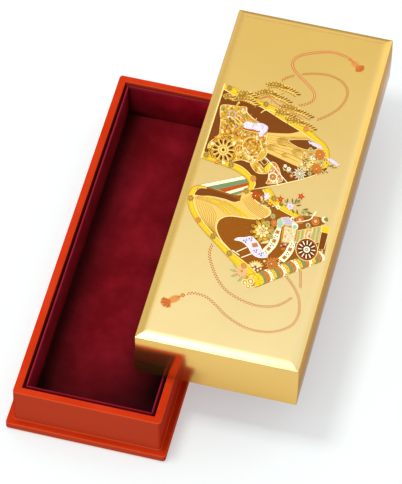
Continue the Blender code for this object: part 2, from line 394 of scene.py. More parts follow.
def mesh_piece(name, points, faces, materials, indices=None, smooth_angle=40):
    """Make a mesh object from points and faces, shade it, and let it ride on the box."""
    data = bpy.data.meshes.new(name)
    data.from_pydata(points, [], faces)
    for material in materials:
        data.materials.append(material)
    if indices:
        data.polygons.foreach_set("material_index", indices)
    data.update()
    if smooth_angle:
        data.shade_smooth()
        data.set_sharp_from_angle(angle=math.radians(smooth_angle))
    piece = place_object(name, data)
    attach(piece, BODY)
    return piece


def loft(rings):
    """Return the points and faces of a chain of equal rings with both ends closed."""
    count = len(rings[0])
    faces = []
    for lower in range(0, (len(rings) - 1) * count, count):
        for i in range(count):
            j = (i + 1) % count
            faces.append((lower + i, lower + j, lower + count + j, lower + count + i))
    faces.append(tuple(reversed(range(count))))
    faces.append(tuple(range((len(rings) - 1) * count, len(rings) * count)))
    return [point for ring in rings for point in ring], faces


def rings_along(profile, centre, width, length, corner, least=0.6 * MM):
    """Turn (inset, z) points into rounded rectangles whose corners tighten with the inset."""
    return [rounded_rectangle(centre, width - 2 * inset, length - 2 * inset,
                              max(corner - max(inset, 0), least), z) for inset, z in profile]


# The box

class PENBOX_OT_box(bpy.types.Operator):
    """Make the vermilion box with its foot, one lacquered piece"""

    bl_idname = "penbox.box"
    bl_label = "Box"

    def execute(self, context):
        sizes = context.scene.pen_box_sizes
        centre = (BOX_LOW + BOX_HIGH) / 2
        size = BOX_HIGH - BOX_LOW
        rings = rings_along(foot_profile(sizes), centre, size.x, size.y, sizes.foot_corner,
                            sizes.foot_corner)
        rings += rings_along(wall_profile(sizes), centre, size.x - 2 * sizes.foot_overhang,
                             size.y - 2 * sizes.foot_overhang, sizes.corner)
        piece = mesh_piece("vermilion_box", *loft(rings), [vermilion_lacquer(context.scene.pen_box_colours)])
        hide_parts("base_box")
        return {"FINISHED"}


def foot_profile(sizes):
    """Return the outside of the foot, from the underside up to the wall."""
    edge, cove, low = sizes.foot_round, sizes.foot_cove, BOX_LOW.z
    return (arc(edge, low + edge, edge, -90, 0) + arc(edge, low + sizes.foot_height - edge, edge, 0, 90)
            + arc(sizes.foot_overhang - cove, low + sizes.foot_height + cove, cove, 270, 180))


def wall_profile(sizes):
    """Return the rim and the inside of the box, from the outer face in."""
    edge, top = sizes.rim_round, BOX_HIGH.z
    cove = edge / 2
    return (arc(edge, top - edge, edge, 0, 90) + arc(sizes.wall - edge, top - edge, edge, 90, 180)
            + arc(sizes.wall + cove, BOX_LOW.z + sizes.floor + cove, cove, 0, -90))


# The lid

def lid_fall(sizes, inset):
    """Return how far the lid's pillowed top lies below its flat, at a distance from the edge."""
    return sizes.border_drop * (1 - min(max(inset / sizes.border_width, 0), 1)) ** 2


class PENBOX_OT_lid(bpy.types.Operator):
    """Make the hollow lid: gold outside, vermilion inside"""

    bl_idname = "penbox.lid"
    bl_label = "Lid"

    def execute(self, context):
        sizes, colours = context.scene.pen_box_sizes, context.scene.pen_box_colours
        size = LID_HIGH - LID_LOW
        inner, outer = lid_inside(sizes), lid_outside(sizes)
        rings = rings_along(inner + outer, (LID_LOW + LID_HIGH) / 2, size.x, size.y, sizes.lid_corner)
        points, faces = loft(rings)
        # The faces of the inside come first, and the ceiling is the last but one
        indices = [int(i < len(inner) * len(rings[0])) for i in range(len(faces))]
        indices[-2] = 1
        vermilion = bpy.data.materials.get("vermilion_urushi_polished") or vermilion_lacquer(colours)
        piece = mesh_piece("gold_lid", points, faces, [gold_lacquer(colours), vermilion], indices)
        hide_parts("lid")
        return {"FINISHED"}


def lid_inside(sizes):
    """Return the inside of the lid, from its ceiling down to the mouth."""
    edge, wall = sizes.lid_edge, sizes.lid_wall
    return (arc(wall + edge, LID_HIGH.z - sizes.lid_top - edge, edge, 90, 0)
            + arc(wall - edge, LID_LOW.z + edge, edge, 180, 270))


def lid_outside(sizes, side_steps=16, border_steps=24):
    """Return the outside of the lid, from the mouth up the swelled side to the flat of the top."""
    edge, swell = sizes.lid_edge, sizes.side_swell
    top, start = LID_HIGH.z - sizes.paint_room, swell + edge
    slope = math.degrees(math.atan2(2 * sizes.border_drop, sizes.border_width))
    lift = edge * math.cos(math.radians(slope))
    mouth = arc(start, LID_LOW.z + edge, edge, -90, 0)
    turn = arc(start, top - lid_fall(sizes, start) - lift, edge, 0, 90 - slope)
    low, high = mouth[-1][1], turn[0][1]
    side = [(swell * (2 * i / side_steps - 1) ** 2, low + (high - low) * i / side_steps)
            for i in range(1, side_steps)]
    insets = [start + (sizes.border_width - start) * i / border_steps for i in range(1, border_steps + 1)]
    return mouth + side + turn + [(inset, top - lid_fall(sizes, inset)) for inset in insets]


# The lining

# Spacing of the cloth's points, and the length, height and depth of the ripples and waves in it
CLOTH_STEP = 2.5 * MM
RIPPLE_LONG, RIPPLE_TALL, RIPPLE_DEEP = 17 * MM, 11 * MM, 0.12 * MM
WAVE_LONG, WAVE_DEEP = 30 * MM, 0.1 * MM
# How squarely the padding's swell ends at a panel's two ends, and at its top and foot
END_SQUARE, EDGE_SQUARE = 24, 6
# The least flat left between a panel's two rounded edges
LEAST_CREST = 0.05 * MM
# Angles in degrees from which a fold looks sharp, on the floor and on the upright panels
FLOOR_FOLD, UPRIGHT_FOLD = 50, 60


class PENBOX_OT_lining(bpy.types.Operator):
    """Make the five padded, cloth-covered panels that line the box"""

    bl_idname = "penbox.lining"
    bl_label = "Lining"

    def execute(self, context):
        sizes = context.scene.pen_box_sizes
        cloth = lining_cloth(context.scene.pen_box_colours)
        for side in ("left", "right", "front", "back", "floor"):
            points, faces = floor_panel(sizes) if side == "floor" else upright_panel(sizes, side)
            piece = mesh_piece("lining_cloth_" + side, points, faces, [cloth],
                               smooth_angle=FLOOR_FOLD if side == "floor" else UPRIGHT_FOLD)
            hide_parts("lining_" + side)
        return {"FINISHED"}


def upright_panel(sizes, side):
    """Return one upright panel: a padded section drawn along the wall, with mitred ends."""
    low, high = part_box("lining_" + side)
    size = high - low
    thick, span = (size.x, size.y) if side in ("left", "right") else (size.y, size.x)
    section = panel_section(sizes, thick, low.z, high.z)
    # The letters of the side's name give its cloth ripples of its own
    seed = sum((i + 1) * ord(letter) for i, letter in enumerate(side)) / 10
    rows = max(8, round(span / CLOTH_STEP))
    rings = []
    for share in [row / rows for row in range(rows + 1)]:
        ring = []
        for depth, z in section:
            reach = span / 2 - depth
            run = -reach + 2 * reach * share
            rise = (z - low.z) / (high.z - low.z)
            swell = sizes.cloth_swell * (1 - abs(2 * share - 1) ** END_SQUARE)
            swell *= 1 - abs(2 * rise - 1) ** EDGE_SQUARE
            face = min(max(depth / thick * 2 - 1, 0), 1)
            ripple = RIPPLE_DEEP * noise.noise(Vector((run / RIPPLE_LONG, z / RIPPLE_TALL, seed)))
            out = depth - face * (sizes.cloth_swell - swell - ripple)
            ring.append(panel_place(side, low, high, run, out, z))
        rings.append(ring)
    points, faces = loft(rings)
    if side in ("right", "front"):
        faces = [tuple(reversed(face)) for face in faces]
    return points, faces


def panel_section(sizes, thick, foot, top, heights=12, turns=5):
    """Return the panel's section as (depth, z), with a rounded top, closed at the foot."""
    lead = sizes.cloth_lead
    edge = min(sizes.cloth_round, (thick - lead) / 2 - LEAST_CREST)
    rise = top - edge - foot
    angles = [math.pi / 2 * i / turns for i in range(turns + 1)]
    shares = [step / heights for step in range(1, heights)]
    return ([(0.0, foot)] + [(lead * s ** 4, foot + rise * s) for s in shares]
            + [(lead + edge - edge * math.cos(a), top - edge + edge * math.sin(a)) for a in angles]
            + [(thick - edge + edge * math.sin(a), top - edge + edge * math.cos(a)) for a in angles]
            + [(thick, top - edge - rise * s) for s in shares] + [(thick, foot)])


def panel_place(side, low, high, run, depth, z):
    """Turn a point of a panel's own section into its place in the box."""
    middle = (low + high) / 2
    if side in ("left", "right"):
        return (low.x + depth if side == "left" else high.x - depth, middle.y + run, z)
    return (middle.x + run, low.y + depth if side == "front" else high.y - depth, z)


def floor_panel(sizes, edge=0.45 * MM):
    """Return the floor panel: a thin pad, a little fuller in the middle than at its edges."""
    low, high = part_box("lining_floor")
    low, high = low - sizes.floor_reach * Vector((1, 1, 0)), high + sizes.floor_reach * Vector((1, 1, 0))
    size = high - low
    across, along = round(size.x / CLOTH_STEP), round(size.y / CLOTH_STEP)
    row = across + 1
    points, faces = [], []
    for j in range(along + 1):
        for i in range(row):
            x, y = low.x + size.x * i / across, low.y + size.y * j / along
            turn = min(min(x - low.x, high.x - x, y - low.y, high.y - y) / (3 * edge), 1)
            fall = edge * (1 - math.sqrt(max(0, 1 - (1 - turn) ** 2)))
            wave = WAVE_DEEP * noise.noise(Vector((x / WAVE_LONG, y / WAVE_LONG, 4))) * turn
            points.append((x, y, high.z - WAVE_DEEP - fall + wave))
    base = len(points)
    points += [(x, y, low.z) for x, y, z in points]
    for j in range(along):
        for a in range(j * row, j * row + across):
            faces.append((a, a + 1, a + row + 1, a + row))
            faces.append((base + a, base + a + row, base + a + row + 1, base + a + 1))
    edges = (list(range(across)) + [across + j * row for j in range(along)]
             + [along * row + i for i in range(across, 0, -1)] + [j * row for j in range(along, 0, -1)])
    faces += [(a, base + a, base + b, b) for a, b in zip(edges, edges[1:] + edges[:1])]
    return points, faces


# Drawing tools for the picture, in millimetres on the lid's top and degrees.  Each mark has a
# paint and a layer, counted up from the lacquer.

def curve(points, steps=6, closed=False):
    """Return points on a smooth curve through the given ones."""
    count = len(points)
    out = []
    for i in range(count if closed else count - 1):
        places = [(i + k) % count if closed else min(max(i + k, 0), count - 1) for k in (-1, 0, 1, 2)]
        a, b, c, d = (points[place] for place in places)
        for t in [step / steps for step in range(steps)]:
            out.append(tuple(0.5 * (2 * b[k] + (c[k] - a[k]) * t
                                    + (2 * a[k] - 5 * b[k] + 4 * c[k] - d[k]) * t * t
                                    + (3 * b[k] - a[k] - 3 * c[k] + d[k]) * t ** 3) for k in (0, 1)))
    return out if closed else out + [tuple(points[-1])]


def outline(*chains):
    """Join smooth chains of points into one outline, with corners where the chains meet."""
    return [point for chain in chains for point in (curve(chain) if len(chain) > 2 else chain)]


def spaced(path, spacing):
    """Return points at even distances along a path, with the path's direction in degrees at each."""
    out, left = [], 0.0
    for a, b in zip(path, path[1:]):
        step = math.dist(a, b)
        while step and left <= step:
            out.append((mix(a, b, left / step), bearing(a, b)))
            left += spacing
        left -= step
    return out


def inside(point, shape):
    """Tell whether a point lies in an outline."""
    x, y = point
    found = False
    for (ax, ay), (bx, by) in zip(shape, shape[1:] + shape[:1]):
        if (ay > y) != (by > y) and x < (bx - ax) * (y - ay) / (by - ay) + ax:
            found = not found
    return found


def within(path, shape):
    """Cut a path into the stretches that lie in an outline."""
    runs = [[]]
    for point in path:
        if inside(point, shape):
            runs[-1].append(point)
        else:
            runs.append([])
    return [run for run in runs if len(run) > 1]


def between(first, second, share, count=24):
    """Return a path that lies a share of the way from one path to another."""
    def even(path):
        total = sum(math.dist(a, b) for a, b in zip(path, path[1:]))
        # A hair less than an even share, so that rounding doesn't lose the last point
        return [point for point, way in spaced(path, total / count * 0.9999)][:count + 1]
    return [mix(a, b, share) for a, b in zip(even(first), even(second))]


def mix(a, b, share):
    """Return the point a share of the way from one point to another."""
    return tuple(a[k] + (b[k] - a[k]) * share for k in (0, 1))


def bearing(a, b):
    """Return the direction from one point to another, in degrees."""
    return math.degrees(math.atan2(b[1] - a[1], b[0] - a[0]))


def polar(centre, radius, angle):
    """Return the point at a distance and an angle in degrees from a centre."""
    turn = math.radians(angle)
    return (centre[0] + radius * math.cos(turn), centre[1] + radius * math.sin(turn))


def circle(centre, radius, steps):
    """Return the points of a circle."""
    return [polar(centre, radius, 360 * i / steps) for i in range(steps)]


def petal(centre, angle, near, far, width, blunt=0.7, steps=5):
    """Return a petal's outline, from near the centre to far from it."""
    turn = math.radians(angle)
    out = []
    for side in (1, -1):
        for step in range(steps):
            share = step / steps if side == 1 else 1 - step / steps
            along = near + (far - near) * share
            half = side * width / 2 * math.sin(math.pi * share ** blunt) ** 0.8
            out.append((centre[0] + along * math.cos(turn) - half * math.sin(turn),
                        centre[1] + along * math.sin(turn) + half * math.cos(turn)))
    return out


def clip(shape, limit, side):
    """Return the part of an outline to the right of a limit, or to its left where side is -1."""
    if limit is None:
        return shape
    out = []
    for a, b in zip(shape, shape[1:] + shape[:1]):
        if (a[0] - limit) * side >= 0:
            out.append(a)
        if (a[0] - limit) * (b[0] - limit) < 0:
            out.append((limit, a[1] + (b[1] - a[1]) * (limit - a[0]) / (b[0] - a[0])))
    return out


# The rise from layer to layer, the step between films of one layer, how many such steps there
# are, and how deep a film reaches into the lid
LAYER, HAIR, HAIRS, BURIED = 0.026, 0.002, 12, 0.05
# The width of a film's strips where the border bends, and how many of them lie side by side
STRIP, STRIPS = 0.7, 9
# The least gaps between the points of a film and of a stroke, and a film's least area, doubled
FILM_GAP, STROKE_GAP, LEAST_AREA = 0.02, 0.03, 0.002
# The least share of its width that a stroke narrows to, and how quickly it widens from its ends
THIN, WIDEN = 0.12, 1.5
# Corners of a small disc, a big one and a ring, and the radii under which a disc and a dot are small
SMALL_SIDES, BIG_SIDES, RING_SIDES = 8, 18, 24
SMALL_DISC, SMALL_DOT = 0.6, 0.7


class Painting:
    """Thin films of paint on the lid's top, gathered into one piece with a slot for each paint."""

    def __init__(self, sizes):
        self.sizes = sizes
        self.points, self.faces, self.indices, self.paints = [], [], [], []
        self.count = 0
        self.width, self.length = (LID_HIGH.x - LID_LOW.x) / MM, (LID_HIGH.y - LID_LOW.y) / MM
        border = sizes.border_width / MM
        self.bends = [border - STRIP, border]
        self.bends += [self.width - border + STRIP * i for i in range(STRIPS)]

    def height(self, u, v):
        """Return the height of the lid's lacquer under a point of the picture."""
        inset = min(u, self.width - u, v, self.length - v)
        return LID_HIGH.z - self.sizes.paint_room - lid_fall(self.sizes, inset * MM)

    def add(self, shape, paint, layer):
        """Add the upper and lower points of a shape and return the number of the first."""
        start = len(self.points)
        self.count = (self.count + 1) % HAIRS
        for rise in (layer * LAYER + self.count * HAIR, -BURIED):
            self.points += [(LID_LOW.x + u * MM, LID_LOW.y + v * MM, self.height(u, v) + rise * MM)
                            for u, v in shape]
        if paint not in self.paints:
            self.paints.append(paint)
        return start

    def close(self, faces, paint):
        """Keep faces in the slot of a paint."""
        self.faces += faces
        self.indices += [self.paints.index(paint)] * len(faces)

    def film(self, shape, paint, layer):
        """Lay a closed film over an outline, in strips where the lid falls away under it."""
        cuts = [cut for cut in self.bends if min(p[0] for p in shape) < cut < max(p[0] for p in shape)]
        for low, high in zip([None] + cuts, cuts + [None]):
            self.flat_film(clip(clip(shape, low, 1), high, -1), paint, layer)

    def flat_film(self, shape, paint, layer):
        """Lay a closed film over an outline that lies on a nearly flat part of the lid."""
        clean = [p for p, q in zip(shape, shape[1:] + shape[:1]) if math.dist(p, q) > FILM_GAP]
        area = sum(a[0] * b[1] - b[0] * a[1] for a, b in zip(clean, clean[1:] + clean[:1]))
        if len(clean) < 3 or abs(area) < LEAST_AREA:
            return
        if area < 0:
            clean.reverse()
        start, count = self.add(clean, paint, layer), len(clean)
        top = list(range(start, start + count))
        under = [i + count for i in top]
        sides = [(under[i - 1], under[i], top[i], top[i - 1]) for i in range(count)]
        self.close([tuple(top), tuple(reversed(under))] + sides, paint)

    def stroke(self, path, paint, layer, width, ends=(1, 1)):
        """Lay a stroke along a path.  ends gives the share of its width at its start and end."""
        path = [p for i, p in enumerate(path) if i == 0 or math.dist(p, path[i - 1]) > STROKE_GAP]
        count = len(path)
        if count < 2:
            return
        left, right = [], []
        for i, point in enumerate(path):
            way = bearing(path[max(i - 1, 0)], path[min(i + 1, count - 1)])
            share = i / (count - 1)
            grow = (1 - (1 - ends[0]) * max(0, 1 - 2 * share) ** WIDEN
                    - (1 - ends[1]) * max(0, 2 * share - 1) ** WIDEN)
            half = width / 2 * max(grow, THIN)
            left.append(polar(point, half, way + 90))
            right.append(polar(point, half, way - 90))
        start, last = self.add(right + left, paint, layer), count - 1
        r, l, ru, lu = (start + count * k for k in range(4))
        faces = [(r, l, lu, ru), (ru + last, lu + last, l + last, r + last)]
        for i in range(last):
            for a, b in ((r, l), (lu, ru), (ru, r), (l, lu)):
                faces.append((a + i, a + i + 1, b + i + 1, b + i))
        self.close(faces, paint)

    def line(self, points, paint, layer, width, ends=(1, 1)):
        """Lay a stroke along a smooth curve through points."""
        self.stroke(curve(points), paint, layer, width, ends)

    def loop(self, shape, paint, layer, width):
        """Lay a line of even width round an outline."""
        self.stroke(shape + shape[:1], paint, layer, width)

    def disc(self, centre, radius, paint, layer):
        """Lay a round dot."""
        sides = SMALL_SIDES if radius < SMALL_DISC else BIG_SIDES
        self.film(circle(centre, radius, sides), paint, layer)


def paint_piece(context, name, *painters):
    """Make one piece of the picture, which rides on the box with the lid that it is painted on."""
    art = Painting(context.scene.pen_box_sizes)
    for painter in painters:
        painter(art)
    materials = [bpy.data.materials.get("maki_e_powder_" + paint) or paint_material(paint)
                 for paint in art.paints]
    piece = mesh_piece(name, art.points, art.faces, materials, art.indices, smooth_angle=None)
    return {"FINISHED"}


# Motifs

# The lean of the view across the lid, and how much the view shortens what lies along the lid
SEEN_LEAN, SEEN_TALL = math.radians(15), 1.28


def seen(shape, centre):
    """Stretch a round shape along the lid, so that it looks round from where the viewer sits."""
    cos, sin = math.cos(SEEN_LEAN), math.sin(SEEN_LEAN)
    out = []
    for x, y in shape:
        x, y = x - centre[0], y - centre[1]
        across, along = x * cos + y * sin, (y * cos - x * sin) * SEEN_TALL
        out.append((centre[0] + across * cos - along * sin, centre[1] + across * sin + along * cos))
    return out


def dot(art, centre, radius, paint, layer):
    """Draw a disc that looks round to the viewer."""
    sides = SMALL_SIDES if radius < SMALL_DOT else BIG_SIDES
    art.film(seen(circle(centre, radius, sides), centre), paint, layer)


def hoop(art, centre, radius, paint, layer, width):
    """Draw a ring that looks round to the viewer."""
    art.loop(seen(circle(centre, radius, RING_SIDES), centre), paint, layer, width)


def petals(art, centre, count, turn, near, far, width, blunt, paint, layer):
    """Draw a round of petals."""
    for i in range(count):
        shape = petal(centre, turn + 360 * i / count, near, far, width, blunt)
        art.film(seen(shape, centre), paint, layer)


def rosette(art, centre, radius, paint, layer, lobes=5, turn=0):
    """Draw a small scalloped flower in one film."""
    shape = [polar(centre, radius * (0.78 + 0.22 * math.cos(math.radians(lobes * a))), a + turn)
             for a in range(0, 360, 360 // (4 * lobes))]
    art.film(seen(shape, centre), paint, layer)


def blossom(art, centre, radius, paint, heart, layer, count=5, turn=90):
    """Draw an open flower: round petals about a small heart."""
    width = 1.14 * math.pi * radius / count
    petals(art, centre, count, turn, 0.12 * radius, radius, width, 1.3, paint, layer)
    dot(art, centre, 0.28 * radius, heart, layer + 1)


def star(art, centre, radius, paint, heart, layer, turn):
    """Draw a flower with five pointed petals."""
    shape = [polar(centre, radius * (0.44 if i % 2 else 1), turn + 36 * i) for i in range(10)]
    art.film(seen(shape, centre), paint, layer)
    dot(art, centre, 0.22 * radius, heart, layer + 1)


def chrysanthemum(art, centre, radius, paint, line, layer, count, heart, blunt=1.4, full=3.8):
    """Draw a many-petalled flower in three rounds over a darker ground."""
    dot(art, centre, 0.8 * radius, line, layer)
    for k, (near, far, turn) in enumerate(((0.48, 1, 0), (0.3, 0.74, 180 / count), (0.12, 0.46, 0))):
        width = full * far * radius / count
        petals(art, centre, count, turn, near * radius, far * radius, width, blunt, paint, layer + 1 + k)
    dot(art, centre, 0.14 * radius, heart, layer + 4)


def leaf(art, base, tip, width, paint, layer, vein=None):
    """Draw a pointed leaf, with a vein where a paint is given for it."""
    art.film(petal(base, bearing(base, tip), 0, math.dist(base, tip), width, 0.9), paint, layer)
    if vein:
        art.stroke([base, tip], vein, layer + 1, 0.16, (1, 0.3))


def leaves(art, stems, width, paint, layer, vein=None):
    """Draw leaves from rows of base and tip."""
    for base, tip in stems:
        leaf(art, base, tip, width, paint, layer, vein)


def spray(art, points, paint, leaf_paint, layer, size, spacing):
    """Draw a stem with leaves by turns along it."""
    path = curve(points)
    art.stroke(path, paint, layer, 0.28, (1, 0.4))
    for i, (point, way) in enumerate(spaced(path, spacing)[1:]):
        tip = polar(point, size, way + (48 if i % 2 else -48))
        leaf(art, point, tip, 0.36 * size, leaf_paint, layer + 1)


def cloth(art, shape, paint, line, layer, width=0.42):
    """Draw a filled shape with a line round it."""
    art.film(shape, paint, layer)
    art.loop(shape, line, layer + 1, width)


def wheel(art, centre, radius, layer, slots=12):
    """Draw the upper cart's wheel: a gold ground, a broad rim, dark gaps between spokes, and a hub."""
    dot(art, centre, radius, "cart_gold", layer)
    for share, paint, lift, width in ((0.94, "yellow", 1, 0.12), (0.82, "line_gold", 1, 0.04),
                                      (0.32, "bright_gold", 2, 0.05)):
        hoop(art, centre, share * radius, paint, layer + lift, width * radius)
    for i in range(slots):
        angle = 360 * i / slots
        gap = petal(centre, angle, 0.36 * radius, 0.76 * radius, 2 * radius / slots, 1.3)
        art.film(seen(gap, centre), "umber", layer + 1)
        for bend, paint in ((-10, "line_gold"), (10, "bright_gold")):
            spoke = [polar(centre, share * radius, angle + bend) for share in (0.34, 0.8)]
            art.stroke(seen(spoke, centre), paint, layer + 2, 0.04 * radius)
        if i % 2:
            sweep = seen([polar(centre, 0.92 * radius, angle + k) for k in range(-16, 17, 8)], centre)
            paint = "rust" if i % 4 == 1 else "ochre"
            art.stroke(sweep, paint, layer + 2, 0.09 * radius, (0.4, 0.4))
        place = polar(centre, (0.86 if i % 2 else 0.97) * radius, angle + 15)
        blossom(art, seen([place], centre)[0], 0.13 * radius, ("orange", "cream", "umber", "rust")[i % 4],
                "bright_gold", layer + 3)
    hoop(art, centre, 0.17 * radius, "bright_gold", layer + 3, 0.07 * radius)
    dot(art, centre, 0.08 * radius, "umber", layer + 3)


# Shares of a brocade's marks, added up.  Scrolls take the rest.
FLOWERS, RINGS, LEAVES = 0.34, 0.5, 0.76


def brocade(art, shape, paints, layer, step, seed):
    """Fill an outline with a scatter of small flowers, rings, leaves and scrolls."""
    scatter, paints = random.Random(seed), paints.split()
    low, high = [min(p[k] for p in shape) for k in (0, 1)], [max(p[k] for p in shape) for k in (0, 1)]
    rows, columns = int((high[1] - low[1]) / step) + 1, int((high[0] - low[0]) / step) + 1
    for row, column in [(row, column) for row in range(rows) for column in range(columns)]:
        spot = (low[0] + (column + 0.5 * (row % 2) + scatter.uniform(-0.25, 0.25)) * step,
                low[1] + (row + scatter.uniform(-0.25, 0.25)) * step)
        kind, paint, turn = scatter.random(), scatter.choice(paints), scatter.uniform(0, 360)
        size = step * scatter.uniform(0.38, 0.56)
        if not inside(spot, shape):
            continue
        if kind < FLOWERS:
            rosette(art, spot, size, paint, layer, 5, turn)
            art.disc(spot, 0.3 * size, scatter.choice(paints), layer + 1)
        elif kind < RINGS:
            hoop(art, spot, 0.7 * size, paint, layer, 0.3 * size)
        elif kind < LEAVES:
            pair = [(spot, polar(spot, 1.5 * size, turn + bend)) for bend in (-35, 35)]
            leaves(art, pair, 0.6 * size, paint, layer)
        else:
            scroll = [polar(spot, size * (0.4 + 0.16 * k), turn + 50 * k) for k in range(6)]
            art.stroke(scroll, paint, layer, 0.34 * size, (0.5, 1))


def pine(art, points):
    """Draw a crown of a pine: a gold bough, an olive mass where it is thick, and tufts of needles.

    A needle has its lift off the bough, length, lean, paint and width.
    """
    path = curve(points, 10)
    art.stroke(path, "stream_gold", 6, 5.2, (0.6, 0.5))
    art.stroke(path[:len(path) * 13 // 20], "line_gold", 7, 3.7, (0.5, 0.3))
    tufts = spaced(path, 2.1)
    for i, (point, way) in enumerate(tufts):
        needles = [(-0.9, 2.2, 32, "ochre", 0.8), (-2.9, 1.4, 42, "line_gold", 0.8),
                   (0.9, 1.6, 20, "line_gold", 1.3), (-0.3, 1.2, 30, "bright_gold", 0.7)]
        if i >= 0.45 * len(tufts):
            needles = [(-0.9, 3.3, 32, "ochre", 1.3), needles[1]]
        for lift, length, bend, paint, width in needles:
            foot = polar(point, lift, way + 90)
            tip = polar(foot, length, way + 90 - bend)
            art.stroke([foot, mix(foot, tip, 0.5), tip], paint, 8, width, (0.4, 0.6))


def cord(art, points, lined=0):
    """Draw a braided cord: two rows of rust stitches, with an orange body for its first share."""
    path = curve(points, 12)
    body = path[:int(lined * len(path)) + 1]
    art.stroke(body, "apricot", 1, 1.5, (0.8, 0.3))
    for side in (-90, 90):
        rim = [polar(point, 0.66, way + side) for point, way in spaced(body, 0.8)]
        art.stroke(rim, "orange", 2, 0.5, (1, 0.3))
    for k, (point, way) in enumerate(spaced(path, 1.05)):
        place = polar(point, 0.55, way + (90 if k % 2 else -90))
        art.stroke([polar(place, 0.5, way + 25), polar(place, 0.5, way + 205)], "rust", 3, 0.7)


def tassel(art, knot, tip):
    """Draw a tassel: a knot, a bound head and a spreading skirt of threads."""
    angle, length = bearing(knot, tip), math.dist(knot, tip)
    art.disc(knot, 1.6, "tan", 1)
    art.loop(circle(knot, 1.1, RING_SIDES), "rust", 2, 0.4)
    head = polar(knot, 1.2, angle)
    art.film(petal(head, angle, 0, 0.76 * length, 5.8, 0.85), "tan", 1)
    for k in (-1, 0, 1):
        art.line([polar(head, 0.8, angle + 20 * k), polar(head, 0.3 * length, angle + 18 * k),
                  polar(head, 0.56 * length, angle + 8 * k)], "rust", 2, 0.3)
    skirt = polar(head, 0.52 * length, angle)
    for k in range(-4, 5):
        end = polar(skirt, 0.44 * length * (1 - 0.012 * k * k), angle + 14 * k)
        art.stroke([skirt, end], "rust" if k % 2 else "orange", 3, 1.1, (0.8, 1))


# The scroll

# Outlines of its broad areas
LEFT_CUT = 6.7
UPPER_TOP = [(LEFT_CUT, 219.4), (21, 215.4), (33, 211), (46.5, 207.6), (57.5, 203.6), (66, 198.9),
             (72.2, 195.2), (78.2, 190.4), (83.8, 186.7), (87.4, 182.8), (89.1, 179.2), (90.2, 174.7)]
UPPER_TOP_INNER = [(LEFT_CUT, 214.4), (24.1, 208), (31, 206.2), (35.2, 205.7), (44.7, 201.7), (52.7, 197.9),
                   (65.2, 192.5), (70.6, 189.6), (76, 187), (81.9, 183.8), (85.5, 179.6), (87.3, 173.9)]
TIP = [(90.2, 174.7), (91, 168.8), (90.2, 163.4)]
FOLD = [(90.2, 163.4), (79.2, 154.3), (68, 147.2), (61.9, 143.8), (55.9, 140.7), (46.6, 135.8)]
UPPER_LOW = [(LEFT_CUT, 152.9), (19.6, 150.7), (30.1, 148.8), (37, 145.7), (40.6, 143.2), (42.9, 139.4),
             (42.4, 134.4), (38.6, 130.6)]
UPPER_LOW_INNER = [(LEFT_CUT, 158.8), (12.6, 156.2), (24, 154.6), (34.6, 152.5), (42.6, 147), (46.9, 141.5),
                   (46.6, 135.8)]
LOWER_OUTER = [(15.4, 130.4), (8.9, 129.2), (6.2, 125.2), (6, 119.2), (8.2, 111.6), (13.2, 103.8),
               (17.6, 98.9), (23.9, 93.2), (32.6, 86.1), (47.2, 74.5), (56.7, 67.8), (62.3, 63)]
LOWER_INNER = [(16.5, 128.9), (11.8, 127.6), (9.7, 123.4), (10.3, 117.6), (13.2, 110.8), (19.2, 102.9),
               (27.2, 95.3), (36.8, 87.8), (46, 81.4), (56.6, 75.2), (66.2, 68.6)]
RIGHT_BORDER_OUTER = [(57.4, 139.9), (61.6, 135.2), (70.2, 128.2), (83.2, 122.4)]
RIGHT_BORDER_INNER = [(52.9, 137.2), (60, 129.4), (68.3, 123.9), (79.7, 119.9)]
RIGHT_EDGE = [(105, 95.4), (104.6, 101.4), (103.8, 110), (103.8, 117.8)]
RIGHT_TOP = [(98.7, 118.8), (99.9, 121.6), (98.4, 123.8), (94.6, 124.5), (89, 123.9), (83.2, 122.4)]
BIG_BROWN_EDGE = [(45.6, 81.8), (41.4, 85), (36.3, 89.2), (32.2, 94.8), (30.2, 100.2), (31, 105.6),
                  (34.6, 109.2), (40, 110.8), (49.3, 111.4), (56.6, 112.8), (61, 116), (62.6, 119.6),
                  (60.6, 122.8), (52.8, 125.8), (48, 129.2), (46.6, 133.2)]
CRESCENT_TOP = [(10.2, 127.4), (13.5, 128.6), (19.3, 128.4), (29.1, 127.2), (35.9, 125.9), (40.6, 124)]
CRESCENT_LOW = [(40.6, 124), (36.5, 122), (30.1, 123), (20.5, 122.9), (14.8, 121.6), (10, 121.2)]
STREAM_TOP = [(43.6, 185.2), (52, 186.6), (60, 188.6), (65.8, 191.9)]
STREAM_LOW = [(85.4, 162.6), (79, 160.4), (70, 162.4), (60, 165.2), (49, 168.4), (42, 171)]


class PENBOX_OT_scroll(bpy.types.Operator):
    """Paint the unrolled scroll: brown grounds, yellow borders, streams, sash and roll"""

    bl_idname = "penbox.scroll"
    bl_label = "Picture: scroll"

    def execute(self, context):
        return paint_piece(context, "picture_scroll", sash, upper_scroll, lower_scroll, roll)


def border(art, outer, inner):
    """Draw a yellow border with fine lines along it."""
    outer, inner = curve(outer), curve(inner)
    art.film(outer + inner[::-1], "yellow", 3)
    art.stroke(outer, "line_gold", 4, 0.42)
    art.stroke(inner, "bright_gold", 4, 0.5)
    for share in (0.22, 0.78):
        art.stroke(between(outer, inner, share), "line_gold", 4, 0.2)


def cut_stroke(art, path, shape, layer, width, ends=(1, 1)):
    """Draw the parts of a gold line that lie in an outline."""
    for run in within(path, shape):
        art.stroke(run, "line_gold", layer, width, ends)


def flow(art, first, second, count, shape):
    """Draw the lines of a stream, which fan from one bank to the other."""
    for i in range(1, count):
        cut_stroke(art, between(curve(first), curve(second), i / count, 40), shape, 3, 0.34, (0.5, 0.5))


